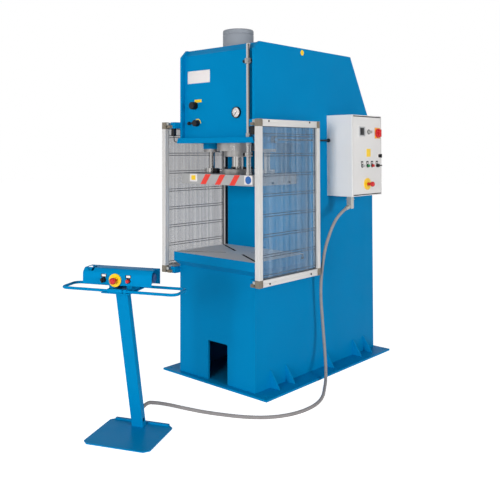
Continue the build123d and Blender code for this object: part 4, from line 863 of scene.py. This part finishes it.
# ABS and nylon casings: black, satin, with a fine spark-eroded grain drawn at 2 mm.
black_moulding = new_finish("black_moulding", "#121214", 0.42, specular=0.3, gloss=(0.36, 0.52, 18))
roughen(black_moulding, 2, 0.08, 0.3, 0.8)
dress(
    black_moulding, "position_switches", "switch_roller", "regulator_knob", "selector_lever",
    "hand_lever", "gauge_needle", "door_lock", "mode_selector", "console_selector",
    "console_fittings",
)

# Stroke stops: bright turned rings on the sleeve of the stroke rod, each with a blackened
# clamping knob on one side and the end of its screw on the other.


def cut_out(piece, cutters):
    """Cuts the forms of some blocks or bars out of a piece."""
    for cutter in cutters:
        cut = piece.modifiers.new("cut", "BOOLEAN")
        cut.operation = "DIFFERENCE"
        cut.object = cutter
        apply_modifiers(piece)
        bpy.data.objects.remove(cutter)
    return piece


rod_x, rod_y = 325, -257
ring_radius = 29
bore_radius = 22.3
flat_y = -239
overshoot = 5
for stop in ("upper_stop", "lower_stop"):
    ring_low, ring_high = (corner.z for corner in corners_of(stop))
    collar = turn(f"{stop}_ring", (rod_x, rod_y, ring_low), (0, 0, 1), (
        (ring_radius - 1, 0), (ring_radius, 1), (ring_radius, ring_high - ring_low - 1),
        (ring_radius - 1, ring_high - ring_low)), 48)
    bore = turn(
        "bore", (rod_x, rod_y, ring_low - overshoot), (0, 0, 1), ((bore_radius, 0), (bore_radius, 50)), 48)
    flat_back = place_block(
        "flat", (rod_x - 40, flat_y, ring_low - overshoot), (rod_x + 40, flat_y + 40, ring_high + overshoot))
    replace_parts(fit(cut_out(collar, [bore, flat_back]), stop, turned_steel), stop)
    level = (ring_low + ring_high) / 2
    knob = turn(f"{stop}_knob", (rod_x - ring_radius + 1, rod_y, level), (-1, 0, 0), (
        (9, 0), (9, 4), (13, 6), (13, 20), (11.5, 21.5), (7, 21.5), (6.4, 20.5)), 24)
    tail = turn(f"{stop}_screw", (rod_x + ring_radius - 1, rod_y, level), (1, 0, 0), (
        (6, 0), (7, 1), (7, 8), (6, 9), (3, 9), (3, 6)), 16)
    fit(join_up(f"{stop}_clamp", [knob, tail]), stop, black_moulding)

# Cover of the head: a plain white nameplate without words, screwed in its corners, a small
# yellow plate above the regulator, and a yellow arc painted round the pressure selector.

gauge_depth = 14
gauge_rim = corners_of("gauge_case")[0].y
cover_face = gauge_rim + gauge_depth
plate_left, plate_right = -338, -91
plate_low, plate_high = 2306, 2406
screw_inset = 7
wall_plate(
    "cover_white_plate", (plate_left, cover_face - 1, plate_low), (plate_right, cover_face + 3, plate_high),
    white_enamel, "press", 4)
plate_screws = [
    turn(
        f"plate_screw_{x}_{z}", (x, cover_face - 1, z), (0, -1, 0),
        ((3, 0), (3, 0.8), (2, 1.6), (1, 1.8)), 12)
    for x in (plate_left + screw_inset, plate_right - screw_inset)
    for z in (plate_low + screw_inset, plate_high - screw_inset)]
fit(join_up("plate_screws", plate_screws), "press", die_cast_zinc)
wall_plate(
    "regulator_yellow_plate", (-261, cover_face - 1, 2152), (-182, cover_face + 3, 2176),
    yellow_enamel, "press", 4)

selector_x, selector_z = -226, 1987
arc_inner, arc_outer = 29, 36
arc_sweep = 145
arc_start = place_block(
    "selector_ring", (selector_x + arc_inner, cover_face - 0.5, selector_z - 0.5),
    (selector_x + arc_outer, cover_face + 1.5, selector_z))
edit_faces(arc_start, lambda centre, normal: normal.z > 0.9)
bpy.ops.mesh.spin(
    steps=24, angle=math.radians(arc_sweep), center=Vector((selector_x, cover_face, selector_z)) * mm,
    axis=(0, 1, 0))
face_outwards(merge=True)
fit(arc_start, "press", yellow_enamel)

# Yellow disc on the right side plate.
side_x = corners_of("side_plate_right")[1].x
disc_y, disc_z = 325, 2546
yellow_disc = turn("side_yellow_disc", (side_x, disc_y, disc_z), (1, 0, 0), ((22, 0), (22, 0.8), (21.4, 1)))
fit(yellow_disc, "press", yellow_enamel)

# Pressure gauge: a white enamelled dial with a black scale and plain figures behind flat
# glass, in the black case.

gauge_x, gauge_z = 187, 2058
dial_y = gauge_rim + 9
case_radius = 42
glass_radius = 37.5
scale_radius = 34
scale_sweep = 270
figure_count = 7
figure_radius = 22
figure_size = 6.5
case = turn("gauge_body", (gauge_x, cover_face, gauge_z), (0, -1, 0), (
    (case_radius - 2, -2), (case_radius - 2, 4), (case_radius, 5), (case_radius, gauge_depth - 1),
    (case_radius - 1.2, gauge_depth), (glass_radius + 0.5, gauge_depth)), 48)
hollow = turn(
    "hollow", (gauge_x, dial_y + 0.2, gauge_z), (0, -1, 0), ((glass_radius, 0), (glass_radius, 30)), 48)
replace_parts(fit(cut_out(case, [hollow]), "press", black_moulding), "gauge_case")
dial = turn("gauge_dial", (gauge_x, dial_y, gauge_z), (0, -1, 0), (
    (glass_radius - 0.3, -0.1), (glass_radius - 0.3, 0.15), (glass_radius - 0.6, 0.2)), 48)
fit(dial, "press", white_enamel)

dial_ink = new_finish("dial_ink", "#141414", 0.5, gloss=(0.45, 0.6, 4))
scale_marks = []
for number, (steps, length, width) in enumerate(((7, 7, 1.3), (31, 4, 0.7))):
    mark = place_block(
        f"marks_{number}", (gauge_x - width / 2, dial_y - 0.35, gauge_z + scale_radius - length),
        (gauge_x + width / 2, dial_y - 0.15, gauge_z + scale_radius))
    edit_faces(mark)
    dial_centre = Vector((gauge_x, dial_y, gauge_z)) * mm
    bpy.ops.transform.rotate(
        value=math.radians(scale_sweep / 2), orient_axis="Y", center_override=dial_centre)
    bpy.ops.mesh.spin(
        steps=steps - 1, dupli=True, angle=math.radians(scale_sweep), center=dial_centre, axis=(0, 1, 0))
    leave_edit()
    scale_marks.append(mark)
for number in range(figure_count):
    deselect()
    angle = math.radians(scale_sweep * (number / (figure_count - 1) - 0.5))
    figure_x = gauge_x + figure_radius * math.sin(angle)
    figure_z = gauge_z + figure_radius * math.cos(angle)
    bpy.ops.object.text_add(
        location=Vector((figure_x, dial_y - 0.2, figure_z)) * mm, rotation=(math.pi / 2, 0, 0))
    figure = bpy.context.object
    figure.data.body = str(number * 5)
    figure.data.size = figure_size * mm
    figure.data.align_x = figure.data.align_y = "CENTER"
    figure.data.extrude = 0.1 * mm
    figure.data.resolution_u = 3
    bpy.ops.object.convert(target="MESH")
    figure.name = f"figure_{number}"
    scale_marks.append(settle(figure))
fit(join_up("gauge_scale", scale_marks), "press", dial_ink)

# Float glass: clear and flat, with a bright reflection.
float_glass = new_finish("float_glass", "#FFFFFF", 0.02)
vary(float_glass, "Alpha", 0.05, 0.09, 40)
glass = turn("gauge_glass", (gauge_x, gauge_rim + 3, gauge_z), (0, -1, 0), (
    (glass_radius, 0), (glass_radius, 1.2), (glass_radius - 0.5, 1.6)), 48)
fit(glass, "press", float_glass)

# Electrical box: folded steel sheet in light grey polyester enamel with a fine texture,
# drawn at 3 mm, with a display, key and rotary switches and push buttons in its door.

box_enamel = new_finish(
    "box_enamel", "#DCDAD8", 0.46, specular=0.3,
    tones=("#D8D6D4", "#E2E0DE", 300, 2), gloss=(0.42, 0.54, 60))
roughen(box_enamel, 3, 0.12, 0.35, 1.5)
dress(box_enamel, "control_box", "box_door")

grey_moulding = new_finish("grey_moulding", "#A4A4A6", 0.45, gloss=(0.38, 0.52, 14))
roughen(grey_moulding, 2, 0.06, 0.3, 0.6)
dress(grey_moulding, "button_grey")

# The fittings in the door: pale grey ones above, and black collars round the buttons below.
fittings_finish = new_finish("door_fittings_moulding", "#C8C8C8", 0.42, gloss=(0.38, 0.52, 14))
buttons_top = 1800
fittings_tone = add_node(
    fittings_finish, "Mix", {"data_type": "RGBA"}, {6: linear("#1A1A1C"), 7: linear("#C8C8C8")},
    {"Factor": beyond_edge(fittings_finish, "Z", buttons_top)})
feed(fittings_finish, "Base Color", fittings_tone.outputs[2])
dress(fittings_finish, "door_fittings")

# Buttons and handles of coloured plastic from a polished mould, so they are glossy.
glossy_red = new_finish("red_moulding", "#C01C20", 0.24, gloss=(0.2, 0.32, 16))
dress(glossy_red, "button_red", "box_stop_button", "console_button", "console_stop_button")
glossy_green = new_finish("green_moulding", "#10884A", 0.26, gloss=(0.22, 0.34, 16))
dress(glossy_green, "button_green")
for plastic in (glossy_red, glossy_green):
    roughen(plastic, 5, 0.03, 0.2, 1)

dress(die_cast_zinc, "key_switch", "box_board", "hydraulic_unit", "cable_fittings")

door_x = corners_of("box_door")[1].x


def door_plate(name, y, z, width, height, thickness, finish, foot=0, corner=2):
    """Small plate on the door, or on a fitting that stands out from it by a foot."""
    plate = place_block(
        name, (door_x + foot - 1, y - width / 2, z - height / 2),
        (door_x + foot + thickness, y + width / 2, z + height / 2))
    return fit(round_edges(plate, corner, 3), "door", finish)


display_y, display_z, display_half_y, display_half_z = 806, 1925, 42, 37
screen_black = new_finish("screen_acrylic", "#0C0D10", 0.1, specular=0.25, gloss=(0.06, 0.14, 30))
bezel_plate = place_block(
    "display_bezel", (door_x + 8, display_y - display_half_y, display_z - display_half_z),
    (door_x + 11, display_y + display_half_y, display_z + display_half_z))
panel_in(bezel_plate, (1, 0, 0), 8, -1.5)
fit(round_edges(bezel_plate, 1), "door", grey_moulding)
door_plate("display_screen", display_y, display_z, 58, 58, 0.6, screen_black, 10, 1)
key_collar = turn("key_switch_collar", (door_x, 922, 1923), (1, 0, 0), (
    (21, -0.5), (21, 2), (19.5, 3.2), (9, 3.2)), 40)
fit(key_collar, "door", black_moulding)
lock_collar = turn("lock_collar", (door_x, 1086, 1724), (1, 0, 0), (
    (24, -0.5), (24, 1), (23, 2), (9, 2)), 40)
fit(lock_collar, "door", white_enamel)

# Black rubber seal strips above and below the door, which also stand as painted shade for the gap between
# door and box, seen as a dark line.
door_low, door_high = corners_of("box_door")
seal_height = 7
seal_and_shade_strips = [
    round_edges(place_block(
        f"door_seal_{number}", (door_x - 4, door_low.y + 6, level),
        (door_x + 0.8, door_high.y + 2, level + seal_height)), 0.6)
    for number, level in enumerate((door_low.z - seal_height - 1.5, door_high.z + 1.5))]
fit(join_up("door_seals", seal_and_shade_strips), "press", black_rubber)

door_plate("box_yellow_plate", 918, 1750, 66, 66, 0.8, yellow_enamel, 0, 3)
legend_level = 1665
for name, y in (("grey", 816), ("green", 899), ("red", 971), ("mode", 1050)):
    door_plate(f"legend_frame_{name}", y, legend_level + 4, 34, 26, 0.8, black_moulding)
    door_plate(f"legend_{name}", y, legend_level, 20, 10, 1.4, white_enamel)

# Moulded plate behind the main switch, orange, and disc behind the stop button, yellow.
orange_moulding, yellow_moulding = (
    new_finish(f"{name}_moulding", colour, 0.34, gloss=(0.28, 0.42, 18))
    for name, colour in (("orange", "#EE9C20"), ("yellow", "#F0C418")))
for plastic in (orange_moulding, yellow_moulding):
    roughen(plastic, 4, 0.03, 0.2, 1)

main_y, main_z = 1055, 1915
main_plate_half = 45
main_plate = place_block(
    "main_switch_yellow", (door_x + 5, main_y - main_plate_half, main_z - main_plate_half),
    (door_x + 6.8, main_y + main_plate_half, main_z + main_plate_half))
fit(round_edges(main_plate, 4, 3), "door", orange_moulding)

# Red rotary handle of the main switch: a moulded disc with an upright grip across it.
grip_end = door_x + 42
handle_disc = turn("main_switch_disc", (door_x + 7.2, main_y, main_z), (1, 0, 0), (
    (39, 0), (39, 9), (37, 12), (33, 13.5)), 48)
handle_grip = place_block(
    "main_switch_grip", (door_x + 16, main_y - 12, main_z - 33), (grip_end, main_y + 12, main_z + 33))
edit_faces(handle_grip, lambda centre, normal: normal.x > 0.9)
bpy.ops.transform.resize(
    value=(1, 0.7, 0.92), center_override=Vector((grip_end, main_y, main_z)) * mm)
leave_edit()
round_edges(handle_grip, 4, 3)
handle = join_up("main_switch_handle", [handle_disc, handle_grip])
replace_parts(fit(handle, "main_switch_knob", glossy_red), "main_switch_knob")
stop_ring = turn("stop_yellow_disc", (door_x, 890, 1493), (1, 0, 0), (
    (48.4, -0.5), (48.4, 8.6), (47.4, 9.4), (22, 9.4)), 48)
fit(stop_ring, "door", yellow_moulding)

# Console: its housing is folded steel in the frame's enamel. White legend plates stand
# above the selector and the button, and a yellow collar lies round the stop button.

console_turn = 24.4
console_place = (
    Matrix.Translation(Vector((196, -1200, 0)) * mm) @ Matrix.Rotation(math.radians(console_turn), 4, "Z"))


def on_console(piece):
    """Moves a piece from the console's own frame, in which it was made, to the console."""
    piece.matrix_world = console_place
    return settle(piece)


def slice_off(piece, point, facing):
    """Cuts a piece through a point and takes away the side that a direction points to."""
    edit_faces(piece)
    bpy.ops.mesh.bisect(plane_co=Vector(point) * mm, plane_no=facing, use_fill=True, clear_outer=True)
    leave_edit()
    return piece


housing_left, housing_right = -262, 205
housing_front, housing_back = -265, -134
housing_bottom, housing_fold, housing_top = 948, 1018, 1044
housing_wall = 2
recess = 48
recess_drop = 9
palm_y, palm_z = -168, 988
row_z = 979
turn_switch_x, stop_x, start_x = -116, -37, 50
slope = (0, housing_fold - housing_top, housing_back - housing_front)

housing = place_block(
    "console_housing", (housing_left, housing_front, housing_bottom),
    (housing_right, housing_back, housing_top))
slice_off(housing, (0, housing_front, housing_fold), slope)
edit_faces(housing, lambda centre, normal: abs(normal.x) > 0.9 or normal.z < -0.9)
bpy.ops.mesh.delete(type="FACE")
leave_edit()
round_edges(housing, 8, 4, 30)
wall = housing.modifiers.new("wall", "SOLIDIFY")
wall.thickness = housing_wall * mm
wall.offset = -1
apply_modifiers(housing)

# Notches in the top over the palm buttons, so that a hand reaches them.
left_notch = place_block("left_notch", (-252, -256, housing_fold - 20), (-193, -178, housing_top + 9))
slice_off(left_notch, (-224, -256, 0), (-76, -26, 0))
slice_off(left_notch, (-195, -197, 0), (17, 55, 0))
right_notch = place_block(
    "right_notch", (174, -250, housing_fold - 20), (housing_right + 9, -150, housing_top + 9))
slice_off(right_notch, (174, -190, 0), (-60, -32, 0))
slice_off(right_notch, (174, -190, 0), (-40, 32, 0))
front_holes = [
    turn(f"hole_{x}", (x, housing_front + 5, row_z), (0, -1, 0), ((radius, 0), (radius, 9)), 32)
    for x, radius in ((turn_switch_x, 11.5), (stop_x, 13.5), (start_x, 11.5))]
cut_out(housing, [left_notch, right_notch] + front_holes)

end_walls = []
for x in (housing_left + recess, housing_right - recess - housing_wall):
    end_wall = place_block(
        f"end_wall_{x}", (x, housing_front + 1, housing_bottom + 1),
        (x + housing_wall, housing_back - 1, housing_top))
    slice_off(end_wall, (0, housing_front, housing_fold - 1), slope)
    cut_out(end_wall, [turn("neck_hole", (x - 4, palm_y, palm_z), (1, 0, 0), ((15.5, 0), (15.5, 10)), 32)])
    end_walls.append(end_wall)
floor_sheet = place_block(
    "housing_floor", (housing_left + recess, housing_front + 1, housing_bottom + 0.5),
    (housing_right - recess, housing_back - 1, housing_bottom + 0.5 + housing_wall))
recess_sheet = place_block(
    "recess_sheet", (housing_left + 1, housing_front + 1, housing_bottom),
    (housing_left + recess, housing_back - 1, housing_top))
recess_fold = housing_fold - recess_drop
slice_off(recess_sheet, (0, housing_front, recess_fold), slope)
slice_off(recess_sheet, (0, housing_front, recess_fold - housing_wall), tuple(-part for part in slope))
housing = on_console(join_up("console_housing", [housing, floor_sheet, recess_sheet] + end_walls))
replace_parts(fit(housing, "press", blue_enamel), "console_shell")

plug = turn("console_plug", (125, -183, 1036), slope, ((6.5, 0), (6.5, 1.8), (5.5, 2.8)), 20)
fit(on_console(plug), "press", black_rubber)

for name, x in (("selector", turn_switch_x), ("button", start_x)):
    back_plate = place_block(
        f"console_legend_frame_{name}", (x - 19, housing_front - 0.8, 993), (x + 19, housing_front + 1, 1014))
    fit(on_console(round_edges(back_plate, 1)), "press", black_moulding)
    plate = place_block(
        f"console_legend_{name}", (x - 14, housing_front - 1.6, 998), (x + 14, housing_front + 0.5, 1011))
    fit(on_console(round_edges(plate, 1)), "press", white_enamel)
collar = turn("console_stop_collar", (stop_x, housing_front, row_z), (0, -1, 0), (
    (40.4, -0.5), (40.4, 8.6), (39.4, 9.4), (21, 9.4)), 48)
fit(on_console(collar), "press", yellow_moulding)

# Palm buttons in the open ends: blue nylon, painted dark as the shade of their recesses.
shaded_blue_nylon = new_finish("shaded_blue_nylon", "#0A3C70", 0.5, gloss=(0.4, 0.55, 18))
roughen(shaded_blue_nylon, 2, 0.08, 0.3, 0.8)
dress(shaded_blue_nylon, "palm_button_left", "palm_button_right")

# Handrail: one steel tube bent into a closed loop round the console, enamelled with the
# stand and held by two clamp blocks on the head plate.
rail_height = 918
rail_radius = 9
rail_left, rail_right = -400, 372
rail_front, rail_back = -290, -100
rail_bend = 45
rail_start = -20

deselect()
bpy.ops.mesh.primitive_circle_add(
    vertices=20, radius=rail_radius * mm, location=Vector((rail_start, rail_front, rail_height)) * mm,
    rotation=(0, math.pi / 2, 0))
handrail = bpy.context.object
handrail.name = "handrail_loop"
bpy.ops.object.mode_set(mode="EDIT")
bpy.ops.mesh.select_mode(type="VERT")
bpy.ops.mesh.select_all(action="SELECT")
for run_x, run_y, bend_x, bend_y in (
    (rail_right - rail_bend - rail_start, 0, rail_right - rail_bend, rail_front + rail_bend),
    (0, rail_back - rail_front - 2 * rail_bend, rail_right - rail_bend, rail_back - rail_bend),
    (rail_left - rail_right + 2 * rail_bend, 0, rail_left + rail_bend, rail_back - rail_bend),
    (0, rail_front - rail_back + 2 * rail_bend, rail_left + rail_bend, rail_front + rail_bend),
):
    draw_out((run_x * mm, run_y * mm, 0))
    bpy.ops.mesh.spin(
        steps=8, angle=math.pi / 2, center=Vector((bend_x, bend_y, rail_height)) * mm, axis=(0, 0, -1))
draw_out(((rail_start - rail_left - rail_bend) * mm, 0, 0))
face_outwards(merge=True)
settle(handrail)
clamps = [
    round_edges(place_block(
        f"rail_clamp_{left}", (left, rail_front - 14, rail_height - rail_radius),
        (right, rail_front + 14, rail_height + 14)), 4, 3)
    for left, right in ((-76, 24), (32, 54))]
handrail = on_console(join_up("handrail_loop", [handrail] + clamps))
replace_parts(fit(handrail, "press", blue_enamel), "handrail")
